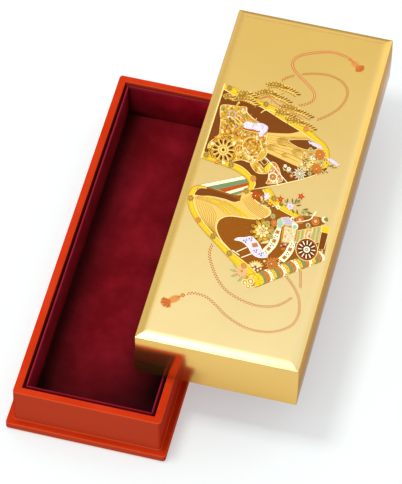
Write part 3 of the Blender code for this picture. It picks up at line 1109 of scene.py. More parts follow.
def upper_scroll(art):
    """Draw the upper half of the scroll, with a stream, its eddies and a brown island."""
    art.film(outline(UPPER_TOP, TIP, FOLD, UPPER_LOW[::-1]), "brown", 1)
    bank = [(65.8, 191.9), (76, 186.6), (81.9, 183.4), (85.5, 179.2), (87.6, 172), (85.4, 162.6)]
    stream = outline(STREAM_TOP, bank, STREAM_LOW)
    art.film(stream, "stream_gold", 2)
    flow(art, [(44, 185), (56, 186.6), (66, 188.6), (76, 184.6), (84, 178), (86, 172)],
         [(44, 171), (52, 168.6), (60, 166), (68, 163.8), (76, 162), (84, 163.4)], 8, stream)
    island = curve([(60.4, 181.6), (62.6, 183.6), (70, 185.6), (75.4, 185.8), (80.6, 180.6), (76, 177.8),
                    (68, 178.2)], closed=True)
    for grow in (1.5, 1.28, 1.1):
        cut_stroke(art, [mix((71.5, 181.6), p, grow) for p in island], stream, 3, 0.3)
    art.film(island, "brown", 4)
    art.loop(island, "bright_gold", 5, 0.4)
    for middle, turns, lean in (
            ((56, 180.4), 5, -12), ((68, 173.6), 5, -30), ((50, 173.6), 4, 10), ((77.7, 173), 4, -30),
            ((60.6, 169.4), 3, 10)):
        for k in range(1, turns + 1):
            egg = [polar((0, 0), k * (1 + 0.3 * math.cos(math.radians(a))), a) for a in range(0, 331, 15)]
            flat = [(x, 0.62 * y) for x, y in egg]
            eddy = [polar(middle, math.hypot(*p), lean + bearing((0, 0), p)) for p in flat]
            cut_stroke(art, eddy, stream, 5, 0.34, (0.4, 0.4))
    border(art, UPPER_TOP + [(90.9, 170.6), (90.9, 166.6)], UPPER_TOP_INNER + [(86.6, 168), (84.6, 162.6)])
    border(art, UPPER_LOW, UPPER_LOW_INNER)
    art.stroke(curve(FOLD), "bright_gold", 5, 0.9, (0.6, 0.4))
    art.line([(36.4, 200.4), (38.4, 203.4), (42, 204.6), (46.6, 203)], "bright_gold", 5, 0.8, (0.5, 0.6))
    art.stroke([(LEFT_CUT, 219.4), (LEFT_CUT, 152.9)], "bright_gold", 5, 0.9)


def lower_scroll(art):
    """Draw the lower half of the scroll, with a russet ground, a winding stream and specks of gold."""
    top = [(57.4, 139.9), (52, 137.8), (46.9, 135.8), (43, 132), (38, 128.4), (30, 128.6), (22, 129.6),
           (15.5, 130.2)]
    art.film(outline(LOWER_OUTER, [LOWER_OUTER[-1], RIGHT_EDGE[0]], RIGHT_EDGE, RIGHT_TOP,
                     RIGHT_BORDER_OUTER[::-1], top), "russet", 1)
    left = [(9.9, 121.2), (10.3, 117.6), (13.2, 110.8), (19.2, 102.9), (27.2, 95.3), (36.8, 87.8),
            (45.6, 81.8)]
    bend = [(46.6, 133.2), (43.6, 133.4), (40.6, 130), (40.4, 127), (40.6, 124)]
    stream = outline(left, BIG_BROWN_EDGE, bend, CRESCENT_LOW)
    art.film(stream, "stream_gold", 2)
    flow(art, [(46.4, 132), (49.5, 127.8), (56, 124), (61.5, 120.8), (61, 117.6)],
         [(41, 125), (44.5, 121), (49, 117), (54, 114.4), (57.6, 113.8)], 8, stream)
    flow(art, [(12, 121.3), (20, 122.2), (28, 122.2), (36, 119.4), (44, 113.6), (47, 111.6)],
         [(10.4, 118.2), (17, 117.4), (24, 116), (30, 112.6), (34, 109.4), (36, 109.6)], 7, stream)
    flow(art, [(10.8, 119), (11.4, 115), (14.4, 109), (20.4, 101.6), (28.4, 94.4), (37.4, 87.8), (45, 82.2)],
         [(24, 115.6), (27, 112.4), (29.8, 108), (29.6, 101), (31.6, 95), (36, 89.6), (45, 82.2)], 9, stream)
    for points, width in (
            ([(12, 120.4), (21, 120.4), (30, 116.8), (37, 111.6)], 1.9),
            ([(30, 121.4), (38, 118.4), (45, 114.2), (49, 111.8)], 2.6),
            ([(33, 120), (40, 116.4), (44, 113)], 1.5)):
        art.line(points, "yellow", 4, width, (0.2, 0.8))
        art.line(points, "line_gold", 5, 0.25)
    art.film(outline(CRESCENT_TOP, CRESCENT_LOW), "brown", 3)
    art.line(CRESCENT_LOW, "bright_gold", 4, 0.45)
    art.line(BIG_BROWN_EDGE, "bright_gold", 4, 0.8)
    border(art, LOWER_OUTER, LOWER_INNER)
    border(art, RIGHT_BORDER_OUTER, RIGHT_BORDER_INNER)
    scatter = random.Random(5)
    for i in range(40):
        spot = (scatter.uniform(33, 60), scatter.uniform(86, 110))
        art.disc(spot, scatter.uniform(0.12, 0.26), "line_gold", 2)


def sash(art):
    """Draw the striped sash that passes under the scroll."""
    left = [(10.2, 130), (16.5, 130), (24.2, 129.8), (29, 128.8), (32.4, 128), (35.5, 127.4)]
    right = [(37, 144.9), (40.2, 143.2), (42.6, 140.8), (43.2, 138.6), (43, 135.4), (39.6, 131)]
    for i, paint in enumerate(("cream", "sage", "rust", "cream", "sage")):
        art.film([left[i], left[i + 1], right[i + 1], right[i]], paint, 1)
    for a, b in zip(left, right):
        art.stroke([a, b], "line_gold", 2, 0.28)


def roll(art, thick=10.6, taper=1.6, bulge=2.4):
    """Draw the scroll's rolled end: curved stripes round a cylinder seen from the side."""
    start, end = Vector((63.5, 61.6)), Vector((103.8, 94.4))
    way, length = (end - start).normalized(), (end - start).length
    across = Vector((-way.y, way.x))

    def edge(along, share):
        round_off = bulge * math.sqrt(max(0, 1 - (2 * share - 1) ** 2))
        wide = thick - taper * along / length
        return tuple(start + way * (along + round_off) + across * (share - 0.5) * wide)

    def arch(along):
        return [edge(along, i / 8) for i in range(9)]

    along = -0.6
    stripes = [("yellow", 6.6), ("sage", 1.8), ("orange", 2.8)]
    stripes += [("cream", 2.6), ("yellow", 2.3), ("sage", 2.1), ("orange", 2.5)] * 4
    for paint, width in stripes:
        mark = "rust" if paint == "orange" else "line_gold"
        art.film(arch(along) + arch(along + width)[::-1], paint, 5)
        art.stroke(arch(along + width), "olive", 6, 0.3)
        for share in (0.12, 0.5, 0.86):
            rosette(art, edge(along + 0.5 * width, share), 0.55, mark, 6)
        for share in (0.3, 0.7):
            art.stroke([edge(along + 0.3, share), edge(along + width - 0.3, share)], "line_gold", 6, 0.2)
        along += width
    art.film(arch(along) + arch(length - 1.4)[::-1], "cream", 5)
    brocade(art, [(99.4, 98.2), (103.8, 98.9), (104.6, 93.6), (99.6, 95.4)], "yellow line_gold cream", 6,
            1.3, 31)
    for share in (0, 1):
        art.stroke([edge(0.4, share), edge(length - 1.4, share)], "ochre", 7, 0.3)


# The carts

class PENBOX_OT_carts(bpy.types.Operator):
    """Paint the two court carts with their wheels, curtains and ribbons"""

    bl_idname = "penbox.carts"
    bl_label = "Picture: carts"

    def execute(self, context):
        return paint_piece(context, "picture_carts", upper_cart, trappings, lower_cart)


def upper_cart(art):
    """Draw the upper cart: a brocaded body with roof rails, a lilac curtain and a wheel."""
    roof = [(9, 200.1), (14.1, 201.8), (20.5, 202.2), (25.8, 202.9), (27.3, 198.8), (30.5, 195.8),
            (34.1, 193.6)]
    body = curve(roof + [(40, 191), (44, 187), (46, 176.4), (48.6, 167.1), (45, 160.6), (40.6, 157.3),
                         (33.1, 158), (26, 154.8), (14.2, 156.6), (9.7, 160.2), (8.8, 166.6), (13.3, 174.9),
                         (12.7, 181), (11.5, 188), (9.6, 194)], closed=True)
    cloth(art, body, "cart_gold", "bright_gold", 3)
    brocade(art, [p for p in body if p[1] > 176], "line_gold olive bright_gold ochre orange line_gold", 4,
            1.9, 3)
    brocade(art, [(27.6, 182.6), (40.3, 183.4), (46, 176.4), (47, 167), (38.7, 159), (28, 158)],
            "bright_gold line_gold rust line_gold cream ochre", 5, 2, 7)
    brocade(art, [(13.4, 189), (16, 190), (27, 184), (27.6, 174), (14, 176)],
            "rust orange ochre bright_gold line_gold", 5, 2, 9)
    for spot, size, paint in (
            ((11.1, 197.4), 1.1, "sage"), ((25.5, 195.1), 1.2, "sage"), ((16.7, 199.2), 0.9, "olive"),
            ((24.1, 200.6), 0.9, "lilac"), ((23.4, 190.1), 1.2, "olive"), ((30.4, 197.4), 0.7, "orange")):
        rosette(art, spot, size, paint, 7, 6)
    hoop(art, (18.1, 194.3), 2.3, "mauve", 7, 0.55)
    dot(art, (18.1, 194.3), 1.6, "cart_gold", 7)
    hoop(art, (18.1, 194.3), 1.1, "olive", 8, 0.5)
    for start, end, paint, width in (
            ((16.1, 191.4), (22.6, 185.4), "ochre", 1), ((17.4, 192.6), (24.6, 186.6), "bright_gold", 0.5),
            ((20.6, 192.6), (27, 188), "bright_gold", 0.6), ((21.4, 197), (28, 191.6), "rust", 0.6),
            ((20.8, 198), (29.4, 190.8), "bright_gold", 0.4), ((14, 189.4), (20.4, 184), "line_gold", 0.5)):
        art.stroke([start, end], paint, 8, width)
    dot(art, (16.1, 191.6), 0.6, "cream", 9)
    dot(art, (22.8, 185.2), 0.6, "mauve", 9)
    art.line(roof[3:], "bright_gold", 8, 0.7)
    art.line([(27, 198), (30, 195), (33.6, 192.8)], "orange", 8, 0.6)
    for foot, head, width in (((18, 198.4), (19.9, 205.4), 1.5), ((33.6, 186.6), (34.8, 195), 0.8)):
        art.stroke([foot, head], "cart_gold", 9, width, (0.6, 1))
        dot(art, head, 0.5 * width, "apricot", 10)
    curtain = curve([(27.2, 187.5), (27.5, 189.6), (29.8, 191.3), (32.9, 191), (35.8, 191.7), (40, 192),
                     (43.4, 190.7), (44.5, 188.2), (42.9, 182.7), (41.1, 180.2), (39.6, 181.2), (39, 183.4),
                     (36.8, 184.9), (34.6, 185.2), (31.6, 184.8), (28.5, 185.2)], closed=True)
    cloth(art, curtain, "lilac", "line_gold", 8, 0.26)
    brocade(art, curtain, "cream lilac mauve", 9, 1.5, 13)
    art.line([(28, 184.4), (33, 184.2), (39.8, 184.6)], "rust", 10, 0.8)
    art.line([(28.4, 183.4), (34, 183.2), (40.4, 183.2)], "bright_gold", 10, 0.35)
    hoop(art, (37.7, 170.6), 6.6, "bright_gold", 7, 0.5)
    hoop(art, (37.7, 170.6), 3.6, "rust", 7, 0.4)
    hoop(art, (29.8, 166.6), 2.6, "bright_gold", 8, 0.4)
    wheel(art, (19.4, 163.2), 9.8, 6)
    brocade(art, [(9, 166), (13, 173.6), (28, 173), (29.4, 160), (24, 155.6), (12, 157.4)],
            "rust bright_gold line_gold sage", 5, 2.1, 17)


def trappings(art):
    """Draw what lies behind the upper cart: bowl, stand, cloth and poles."""
    brocade(art, [(36, 164.6), (44, 163.6), (47, 158), (41, 156.6), (34, 158.6)],
            "orange bright_gold rust cream", 6, 2, 21)
    bowl = curve([(39.6, 157.6), (42, 153.3), (45.3, 150.4), (49.3, 150), (52.8, 151.7), (49.4, 154.6),
                  (44.9, 158.4)], closed=True)
    cloth(art, bowl, "cart_gold", "bright_gold", 6)
    brocade(art, bowl, "yellow rust bright_gold line_gold", 7, 1.9, 23)
    cloth(art, [(49.6, 155), (51.4, 160), (52.8, 160.8), (54.6, 158), (53.8, 152.6), (51, 152.4)], "yellow",
          "line_gold", 7, 0.3)
    cloth(art, [(45.9, 160.3), (47.9, 163), (51.1, 160.6), (49.2, 157.4)], "brown", "bright_gold", 8)
    drape = curve([(52.9, 160.6), (55.9, 161.2), (59.1, 157.8), (61.6, 152.8), (64, 147.6), (59, 144),
                   (54, 142.9), (54.6, 147), (53.4, 152.8)], closed=True)
    cloth(art, drape, "orange", "bright_gold", 6)
    brocade(art, drape, "cream rust bright_gold apricot", 7, 1.9, 27)
    dot(art, (57.1, 149.2), 3.1, "cream", 9)
    chrysanthemum(art, (57.1, 149.2), 2.6, "orange", "olive", 9, 9, "cream")
    for points in (
            [(47.6, 164.4), (51.8, 161.3), (61.1, 152.8), (67.6, 147)], [(60, 146), (62.6, 143.2)],
            [(45.5, 154.7), (49.4, 151)]):
        art.line(points, "cream", 12, 0.6)


def lower_cart(art):
    """Draw the lower cart: side panels, a brocaded front, ribbons, a lilac streamer and a wheel."""
    for shape, paint in (
            ([(83, 109.6), (97.9, 117.8), (98.9, 104), (84, 100)], "sage_gold"),
            ([(88.4, 112.6), (92.4, 114.8), (93.6, 105.4), (89.2, 103.6)], "stream_gold"),
            ([(98, 118.6), (103.8, 117.8), (103.7, 112.5), (98.6, 113.1)], "yellow"),
            ([(98.9, 112.9), (103.7, 112.5), (103.9, 99.6), (99.9, 98.6)], "brown")):
        cloth(art, shape, paint, "bright_gold", 3)
    brocade(art, [(88.6, 112), (92.2, 114.2), (93.2, 106), (89.4, 104.2)], "orange rust lilac", 5, 1.6, 41)
    for i in range(1, 12):
        bar = [mix((83.2, 109.2), (97.7, 117.2), i / 12), mix((84.2, 100.4), (98.6, 104.6), i / 12)]
        art.stroke(bar, "olive" if i % 2 else "bright_gold", 4, 0.24)
    cloth(art, [(69.4, 109.4), (68.6, 115.4), (70.6, 117.4), (73.6, 114.4), (72.4, 109.6)], "turquoise",
          "bright_gold", 5, 0.4)
    cloth(art, [(70.4, 117.6), (74.9, 119.2), (79.4, 116.8), (80.6, 113.4), (76.4, 112.6), (73.4, 111.6)],
          "mauve", "sand", 5, 0.5)
    dot(art, (80.9, 112.9), 2.2, "cream", 8)
    dot(art, (80.9, 112.3), 1.5, "turquoise", 9)
    front = [(73.6, 111.8), (82.8, 110.8), (83.8, 98.8), (75.4, 98)]
    cloth(art, front, "sand", "cart_gold", 6, 1.3)
    inner = [mix(p, (78.9, 104.9), 0.2) for p in front]
    brocade(art, inner, "mauve orange sage_gold apricot cream mauve bright_gold", 9, 1.8, 43)
    art.loop(inner, "bright_gold", 9, 0.4)
    for i in (0, 1):
        art.stroke([front[i], front[3 - i]], "rust", 9, 0.3)
    brocade(art, [(74, 97), (80.4, 98), (80, 91), (75, 91.6)], "umber lilac orange rust", 6, 1.8, 47)
    ribbon(art, [(71.2, 109), (70.6, 103.6), (70.4, 98.6), (69.6, 93.6), (67.4, 88.4), (65.4, 84.6)], 6.2, 1)
    ribbon(art, [(82.8, 101), (82.4, 96.4), (81.8, 91.6), (80.4, 87), (78.4, 83.2)], 5.6, 0)
    streamer = outline([(44.6, 92.2), (46.7, 94.2), (50.7, 95.4), (54.6, 97.2), (57.4, 95.9), (60.4, 93.3),
                        (63, 90.2), (64.8, 87.4), (68.6, 85.6)],
                       [(69.1, 83.4), (65.2, 82), (61.4, 82.2), (58.2, 84.2), (55.2, 87.8), (52, 90.4),
                        (48.8, 91.8), (44.8, 91.7)])
    cloth(art, streamer, "lilac", "cream", 8, 0.4)
    art.film([(56.4, 91.8), (59.6, 93.4), (61.2, 90.4), (57.8, 88.8)], "line_gold", 10)
    art.film([(57, 91.6), (59.4, 92.8), (60.6, 90.6), (58, 89.4)], "orange", 11)
    for spot in ((55, 95.2), (51.8, 92.8), (60.4, 86.4), (64.2, 84.6)):
        three_dots(art, spot, 1, 60, 10)
    for a, b in (((48.4, 82.6), (54.1, 88)), ((52.5, 78.9), (59.1, 84.3)), ((45.3, 83.2), (50.8, 80.4))):
        art.stroke([a, b], "cream", 7, 0.7)
    dark_wheel(art, (92.8, 96.2), 7.2)


def three_dots(art, centre, radius, turn, layer):
    """Draw three dark dots about a place."""
    for angle in (turn, turn + 120, turn + 240):
        dot(art, polar(centre, radius, angle), 0.45, "ink", layer)


def dark_wheel(art, centre, radius, spokes=12):
    """Draw the lower cart's wheel: short pale bars on a dark ground, with a pale rim and hub."""
    dot(art, centre, radius, "umber", 6)
    hoop(art, centre, radius, "bright_gold", 7, 0.5)
    hoop(art, centre, 0.88 * radius, "rust", 7, 0.4)
    for i in range(spokes):
        angle = 360 * i / spokes + 8
        bar = [polar(centre, share * radius, angle) for share in (0.42, 0.6, 0.8)]
        art.stroke(seen(bar, centre), "cream", 8, 0.8, (0.5, 1))
        place = polar(centre, 0.84 * radius, angle + 180 / spokes)
        rosette(art, seen([place], centre)[0], 0.55, "rust", 8, 4)
    hoop(art, centre, 0.22 * radius, "cream", 8, 0.16 * radius)
    dot(art, centre, 0.08 * radius, "cream", 9)


def ribbon(art, points, width, first):
    """Draw a patterned ribbon: squares and threes of dots by turns along it."""
    path = curve(points)
    art.stroke(path, "cream", 7, width, (0.45, 0.9))
    for side in (-90, 90):
        rim = [polar(point, 0.47 * width, way + side) for point, way in spaced(path, 0.8)[3:]]
        art.stroke(rim, "line_gold", 8, 0.3)
    for i, (spot, way) in enumerate(spaced(path, 3.8)[1:]):
        if (i + first) % 2:
            for size, paint in ((1.95, "line_gold"), (1.55, "orange")):
                art.film([polar(spot, size, way + a) for a in (40, 140, 220, 320)], paint, 8)
            rosette(art, spot, 0.6, "rust", 9, 4)
        else:
            three_dots(art, spot, 0.95, way + 90, 8)


# The plants

class PENBOX_OT_plants(bpy.types.Operator):
    """Paint the pines, the flowers on and beside the scroll, and the border's roundels"""

    bl_idname = "penbox.plants"
    bl_label = "Picture: plants"

    def execute(self, context):
        return paint_piece(context, "picture_plants", pines, roundels, upper_flowers, field, lower_flowers)


def blossoms(art, flowers):
    """Draw flowers from rows of place, size, petals' paint, heart's paint and number of petals."""
    for spot, size, paint, heart, count in flowers:
        blossom(art, spot, size, paint, heart, 8, count, 20 + 40 * count)


def pines(art):
    """Draw the pines that stand over the upper scroll: orange boughs, then their crowns."""
    for bough in (
            [(33.6, 212.1), (35, 214.7), (37.8, 215.7), (40.7, 213.9), (41.1, 210.2)],
            [(41.2, 214.1), (44.3, 211.6), (48.7, 209.6), (54, 206.4)],
            [(29, 212.6), (34, 213.2), (38, 215.6), (43, 216.8), (48, 222)],
            [(50, 206.8), (58, 205.6), (66, 202)]):
        art.line(bough, "orange", 5, 0.6, (1, 0.5))
    for crown in (
            [(35, 224.6), (38, 226.6), (42, 227.4), (46.4, 226.2), (50.6, 225.4), (55, 223.8), (57.6, 222)],
            [(30, 215.4), (33, 218.2), (36.4, 219.7), (40.8, 219), (45.2, 217), (49.4, 216.2),
             (54.4, 213.6)],
            [(17.4, 212.4), (22.2, 214.4), (25.8, 214.6), (29.8, 212.2)],
            [(16.6, 208.4), (20.4, 209.8), (24.4, 210), (28.6, 209), (32.6, 206.6)],
            [(48.4, 208.4), (52.1, 210.6), (56.7, 210), (61.2, 208.6), (65.4, 207.6), (70.1, 205.6)],
            [(54.7, 198.6), (58.5, 200.6), (62.2, 200), (66.4, 199), (71.2, 197.6), (75.4, 195.2)],
            [(45.7, 204), (50.5, 204.6), (55.3, 203.4), (59.6, 202.2)],
            [(8.8, 207.4), (11.4, 209.4), (14.8, 208.8), (17.4, 207)]):
        pine(art, crown)


def roundels(art):
    """Draw the round flowers that stud the scroll's yellow borders."""
    for i, spot in enumerate((
            (10.7, 216.3), (38.1, 208.9), (69.4, 194.9), (9.4, 156), (27.6, 152.2), (44.6, 144.6),
            (42.6, 133.4), (8.2, 118), (17.4, 101.6), (30.2, 91), (44, 80.2), (55.6, 72.6), (62, 132))):
        dot(art, spot, 2.1, "cart_gold", 9)
        blossom(art, spot, 2.1, "orange" if i % 3 == 2 else "olive", "bright_gold", 10, 6)
        dot(art, spot, 0.45, "ochre", 12)


def upper_flowers(art):
    """Draw the flowers about the tip of the upper scroll."""
    chrysanthemum(art, (83.5, 176), 4, "orange", "rust", 6, 12, "yellow", 1.4, 3)
    chrysanthemum(art, (83.9, 163.4), 4.2, "orange", "rust", 6, 12, "yellow", 1.4, 3)
    chrysanthemum(art, (73.9, 156.6), 4.6, "cream", "umber", 6, 12, "cream", 0.8, 1.5)
    brocade(art, [(74, 180), (80, 177), (88.6, 170), (91, 167), (84, 158.4), (74, 160.6), (70, 166)],
            "sage_gold cream apricot olive bright_gold", 5, 2.2, 71)
    for base, tip in (((73.2, 184.8), (83.2, 181.6)), ((88.8, 174.2), (97.2, 170.2))):
        stem = [base, mix(base, tip, 0.5), tip]
        art.stroke(stem, "lilac", 8, 2.6, (0.25, 0.5))
        spray(art, stem, "mauve", "lilac", 8, 2, 1.1)
    blossoms(art, (((89.4, 169.8), 1.9, "yellow", "rust", 5), ((88, 172.2), 1.3, "olive", "cream", 5),
                   ((79, 172), 1.5, "cream", "olive", 6), ((76.4, 178.6), 1.6, "sage_gold", "ochre", 6),
                   ((86, 169.4), 1.7, "sage_gold", "ochre", 6), ((75, 166.4), 1.5, "olive", "cream", 6),
                   ((79.4, 167.6), 1.8, "bright_gold", "ochre", 6), ((66, 158.6), 1.6, "cream", "rust", 6),
                   ((63, 160.4), 1.3, "cream", "rust", 5), ((69, 153.4), 1.5, "orange", "cream", 6),
                   ((80.4, 158.4), 1.6, "sage_gold", "ochre", 6)))
    for points in (
            [(90.4, 167.4), (92.6, 168.6), (95.4, 167.4)], [(72, 168.4), (77, 168.8), (81, 166.4)],
            [(84, 160.4), (88, 161.6), (91, 163)], [(76, 164), (80, 161.6), (84, 160.2)],
            [(78, 174), (80.6, 172.6), (84, 171)]):
        spray(art, points, "olive", "moss", 7, 1.8, 1.4)
    spray(art, [(61.6, 158.6), (65, 156.6), (70, 156.2)], "cream", "sage_gold", 7, 1.8, 1.5)


def field(art):
    """Draw the flowers that grow between the two halves of the scroll and over its border."""
    chrysanthemum(art, (49.6, 131), 3, "rust", "umber", 5, 10, "cream")
    brocade(art, [(50.6, 133), (54.4, 135), (60, 128), (66, 124.4), (63.4, 121.4), (54.6, 125.4)],
            "cream olive bright_gold moss rust", 5, 1.8, 51)
    star(art, (66.3, 132.6), 2.6, "red", "orange", 8, 100)
    star(art, (79.2, 138.2), 2.6, "red", "orange", 8, 80)
    blossoms(art, (((57, 132.8), 2.3, "lilac", "cream", 5), ((74, 128.2), 2.5, "lilac", "mauve", 6),
                   ((60.4, 127.8), 1.7, "yellow", "rust", 5), ((63.4, 130.6), 1.3, "orange", "rust", 5),
                   ((66.4, 125.4), 1.6, "cream", "olive", 6), ((83.6, 125.4), 1.9, "sage_gold", "ochre", 6),
                   ((70.4, 131.8), 1.1, "olive", "cream", 5)))
    leaves(art, (((71.4, 130.6), (71, 134.4)), ((75, 131.6), (73.8, 135.2)), ((76.4, 131.8), (77, 135.8)),
                 ((77.6, 133), (79.4, 135.6)), ((77.8, 129.8), (81, 131.4)), ((67.4, 126.8), (66.6, 131)),
                 ((77.6, 122.8), (76, 126.8)), ((80.4, 122.8), (78.8, 127)), ((82.6, 127.4), (86.4, 129.4)),
                 ((86.2, 126), (89.8, 126.2)), ((68.6, 129.6), (68.2, 126.4))), 1.2, "moss", 9)
    art.line([(70.6, 128), (73.6, 131), (76.6, 131.6), (80, 133.6)], "olive", 8, 0.3)
    for spot in ((82.9, 118.9), (93.2, 120.4)):
        dot(art, spot, 2.7, "orange", 6)
        hoop(art, spot, 1.8, "rust", 7, 0.4)
        dot(art, spot, 0.9, "apricot", 7)
    for radius in (2.2, 1.3):
        hoop(art, (86.2, 124.6), radius, "olive", 8, 0.4)
    dot(art, (89.2, 115.8), 1.9, "olive", 6)
    hoop(art, (89.2, 115.8), 1.2, "cream", 7, 0.3)
    art.line([(78, 115.4), (84.6, 118), (89.4, 121), (90.8, 125), (91.8, 128.6)], "cream", 9, 0.75, (0.6, 1))
    dot(art, (98.6, 123.2), 1.9, "cream", 8)
    dot(art, (99.6, 123.6), 1.4, "olive", 9)
    dot(art, (77.8, 118.4), 1.3, "cream", 9)
    dot(art, (78.2, 118), 0.7, "rust", 10)


def lower_flowers(art):
    """Draw the flowers on the lower scroll and about its rolled end."""
    golden_flower(art, (60.8, 103.4))
    chrysanthemum(art, (66.9, 112), 2.4, "orange", "rust", 6, 9, "apricot")
    for spot, size in (((64.8, 117.2), 2), ((62.6, 110.6), 1.9), ((67.4, 105), 1.8), ((67.8, 100.4), 1.7)):
        chrysanthemum(art, spot, size, "sage_gold", "moss", 9, 8, "ochre", 1, 2.6)
    leaves(art, (((68.4, 96.8), (61.6, 93.4)), ((68.2, 98.4), (64, 96)), ((68.8, 103.4), (66.6, 97.4))), 1.8,
           "bright_gold", 6, "ochre")
    chrysanthemum(art, (73, 78.9), 4.4, "orange", "umber", 7, 13, "apricot", 1.4, 3)
    brocade(art, [(67, 81), (76, 84.6), (80, 82.4), (72, 74.4)], "orange bright_gold rust", 6, 1.9, 61)
    fan = [(polar((63.4, 73.6), 0.8, angle), polar((63.4, 73.6), 5.8, angle))
           for angle in range(30, 171, 20)]
    leaves(art, fan, 1.2, "bright_gold", 7, "umber")
    for spot in ((63, 72.2), (65.4, 71.4), (61.4, 74), (64.6, 74), (67, 73.2)):
        rosette(art, spot, 0.75, "cream", 9)
    chrysanthemum(art, (55.4, 68.2), 4.2, "apricot", "orange", 8, 12, "orange", 1.4, 3)
    leaves(art, (((53, 67.4), (47.4, 67.6)), ((53.4, 65.2), (49.4, 62.4)), ((52.6, 69.8), (48.4, 72.6)),
                 ((57.2, 63.6), (54.6, 59.6))), 2, "sage_gold", 7, "ochre")
    for spot, size in (((59.6, 59.6), 2), ((63, 61.6), 2.2), ((62.2, 57.6), 1.7)):
        dot(art, spot, size, "stream_gold", 9)
        for share, paint in ((1, "bright_gold"), (0.6, "line_gold"), (0.25, "cream")):
            hoop(art, spot, share * size, paint, 10, 0.45)
    brocade(art, [(57.4, 64.4), (66.4, 66.4), (68, 60), (58.4, 58)], "yellow orange bright_gold", 8, 2, 63)


def golden_flower(art, centre):
    """Draw the big gold chrysanthemum: rounds of broad petals, each with a dark edge."""
    for ring, (near, far, count, width, paint) in enumerate((
            (3.8, 8.6, 11, 2.9, "line_gold"), (2.4, 6.7, 10, 2.5, "cart_gold"),
            (1, 4.7, 8, 2.1, "bright_gold"), (0.2, 2.6, 5, 1.5, "apricot"))):
        for i in range(count):
            angle = 360 * (i + 0.5 * (ring % 2)) / count
            for grow, film, layer in ((0.35, "umber", 5 + ring), (0, paint, 6 + ring)):
                shape = petal(centre, angle, near - grow, far + grow, width + 2 * grow, 1.1)
                art.film(seen(shape, centre), film, layer)


# The cords

class PENBOX_OT_cords(bpy.types.Operator):
    """Paint the two braided cords with their tassels"""

    bl_idname = "penbox.cords"
    bl_label = "Picture: cords"

    def execute(self, context):
        return paint_piece(context, "picture_cords", upper_cord, lower_cord)


def upper_cord(art):
    """Draw the cord that trails from the upper tassel round the pines."""
    cord(art, [(82.4, 263.3), (76, 265), (69, 264.8), (58.7, 261), (50.4, 256.2), (47.4, 250.4),
               (48.8, 244.8), (54, 239.2), (61, 233.7), (66.4, 228.8), (68.8, 223.4), (67, 218),
               (60.6, 213.6)], 0.85)
    cord(art, [(43.8, 232), (47, 235.6), (51.6, 238.6)])
    cord(art, [(56.4, 241), (65.1, 243.8), (74.6, 244.5), (83.3, 241.7), (89, 235.2), (89.8, 226.8),
               (86.8, 217.6), (80.9, 209.9), (75, 204.6)])
    tassel(art, (84.9, 262), (94.8, 254.6))


def lower_cord(art):
    """Draw the cord that trails from the lower tassel round the rolled end."""
    cord(art, [(31.4, 84.4), (31, 79.4), (32.6, 73), (37.8, 63.4), (43.4, 55.8), (50.4, 49.8), (61.4, 45.3),
               (72, 43.8), (81, 45.6), (87.4, 49.6), (92.4, 56.4)])
    cord(art, [(84.6, 71.6), (88.6, 67.6), (92.6, 63), (97, 55.6), (99.4, 45.6), (97.8, 35.4), (91.4, 28.8),
               (82, 24.8), (68.5, 24.8), (54.6, 30.6), (46, 37), (38, 42), (29.6, 43.2), (24.4, 41)])
    cord(art, [(92.6, 78.4), (94.6, 71), (95.6, 64.4)])
    tassel(art, (22.6, 39.6), (11.4, 29.2))


# The studio

# Where the lights aim, and the camera's place in metres and its turn in degrees
AIM = Vector((0.03, 0, 0.03))
CAMERA_PLACE = (0.36007, -1.38165, 1.97755)
CAMERA_TURN = (36.3718, -0.849, 14.0986)

# Each light's name, the setting that drives it and its share of that, its place and its size
LIGHTS = (("key_softbox", "key", 0.7, (-0.38, -0.08, 1.5), (0.34, 0.34)),
          ("front_softbox", "front", 1.45, (-0.2, -0.95, 1.6), (0.9, 0.9)),
          ("overhead_softbox", "fill", 1.1, (0.02, 0.8, 1.8), (1.86, 1.8)),
          ("left_screen", "screens", 0.53, (-1.5, 1.3, 1), (1.2, 1.4)),
          ("right_screen", "screens", 0.82, (1.2, 1.2, 1.15), (1.2, 1.2)),
          ("back_screen", "screens", 0.7, (0.05, 2.1, 1.1), (2.2, 0.9)),
          ("low_back_screen", "screens", 0.32, (-0.6, 2.7, 0.5), (2.8, 0.7)),
          ("left_side_screen", "screens", 0.7, (-2.2, -0.2, 0.9), (1.8, 1.6)),
          ("right_side_screen", "screens", 0.6, (1.9, 0.2, 1.2), (1.5, 1.5)),
          ("front_screen", "screens", 1, (0, -2.3, 1.5), (2.4, 1.3)),
          ("front_left_screen", "screens", 1, (-1.9, -1.5, 0.8), (2, 1.4)),
          ("front_right_screen", "screens", 1, (1.9, -1.5, 0.8), (2, 1.4)))


class PENBOX_OT_stage(bpy.types.Operator):
    """Lay the pale floor and set up the soft studio light and the camera"""

    bl_idname = "penbox.stage"
    bl_label = "Studio"

    def execute(self, context):
        stage = context.scene.pen_box_stage
        studio_floor(context, stage)
        white_world(context, stage)
        for name, setting, share, place, size in LIGHTS:
            softbox(name, place, size, share * getattr(stage, setting))
        viewer(context, stage)
        context.scene.view_settings.view_transform = "Standard"
        return {"FINISHED"}


def studio_floor(context, stage, reach=6, drop=0.1 * MM):
    """Lay the light table a hair below the box, so that the two don't touch."""
    corners = ((-reach, -reach), (reach, -reach), (reach, reach), (-reach, reach))
    data = bpy.data.meshes.new("studio_floor")
    data.from_pydata([(x, y, -drop) for x, y in corners], [], [(0, 1, 2, 3)])
    data.materials.append(light_table(context.scene.pen_box_colours, stage.table))
    floor = place_object("studio_floor", data)


def white_world(context, stage):
    """Surround the stage with an even white light."""
    world = bpy.data.worlds.new("white_studio")
    world.use_nodes = True
    background = world.node_tree.nodes["Background"]
    background.inputs["Color"].default_value = linear("FFFFFF")
    background.inputs["Strength"].default_value = stage.sky
    context.scene.world = world


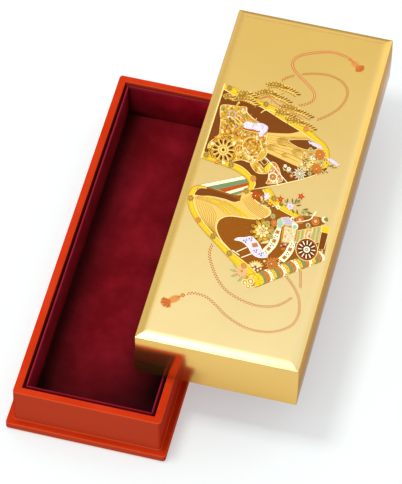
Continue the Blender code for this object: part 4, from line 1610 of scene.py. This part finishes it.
def softbox(name, place, size, power):
    """Hang a rectangular light that faces the box."""
    data = bpy.data.lights.new(name, "AREA")
    data.shape = "RECTANGLE"
    data.size, data.size_y = size
    data.energy = power
    lamp = place_object(name, data)
    lamp.location = place
    lamp.rotation_euler = (AIM - lamp.location).to_track_quat("-Z", "Y").to_euler()


def viewer(context, stage):
    """Set up the camera, high in front of the box and to its right."""
    data = bpy.data.cameras.new("camera")
    data.lens = stage.lens
    data.sensor_width = 36
    data.clip_start, data.clip_end = 0.1, 30
    camera = place_object("camera", data)
    camera.location = CAMERA_PLACE
    camera.rotation_euler = [math.radians(angle) for angle in CAMERA_TURN]
    context.scene.camera = camera


MAKERS = (PENBOX_OT_box, PENBOX_OT_lid, PENBOX_OT_lining, PENBOX_OT_scroll, PENBOX_OT_carts,
          PENBOX_OT_plants, PENBOX_OT_cords, PENBOX_OT_stage)


class PENBOX_PT_panel(bpy.types.Panel):
    """Lists the pen box's makers and settings"""

    bl_label = "Pen Box"
    bl_idname = "PENBOX_PT_panel"
    bl_space_type = "VIEW_3D"
    bl_region_type = "UI"
    bl_category = "Pen Box"

    def draw(self, context):
        for maker in MAKERS:
            self.layout.operator(maker.bl_idname)
        scene = context.scene
        for group in (scene.pen_box_sizes, scene.pen_box_colours, scene.pen_box_stage):
            box = self.layout.box()
            for name in group.__annotations__:
                box.prop(group, name)


CLASSES = (PenBoxSizes, PenBoxColours, PenBoxStage, *MAKERS, PENBOX_PT_panel)


def register():
    for item in CLASSES:
        bpy.utils.register_class(item)
    bpy.types.Scene.pen_box_sizes = bpy.props.PointerProperty(type=PenBoxSizes)
    bpy.types.Scene.pen_box_colours = bpy.props.PointerProperty(type=PenBoxColours)
    bpy.types.Scene.pen_box_stage = bpy.props.PointerProperty(type=PenBoxStage)


def unregister():
    del bpy.types.Scene.pen_box_stage
    del bpy.types.Scene.pen_box_colours
    del bpy.types.Scene.pen_box_sizes
    for item in reversed(CLASSES):
        bpy.utils.unregister_class(item)


def main():
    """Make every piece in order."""
    register()
    bpy.ops.penbox.box()
    bpy.ops.penbox.lid()
    bpy.ops.penbox.lining()
    bpy.ops.penbox.scroll()
    bpy.ops.penbox.carts()
    bpy.ops.penbox.plants()
    bpy.ops.penbox.cords()
    bpy.ops.penbox.stage()


if __name__ == "__main__":
    main()
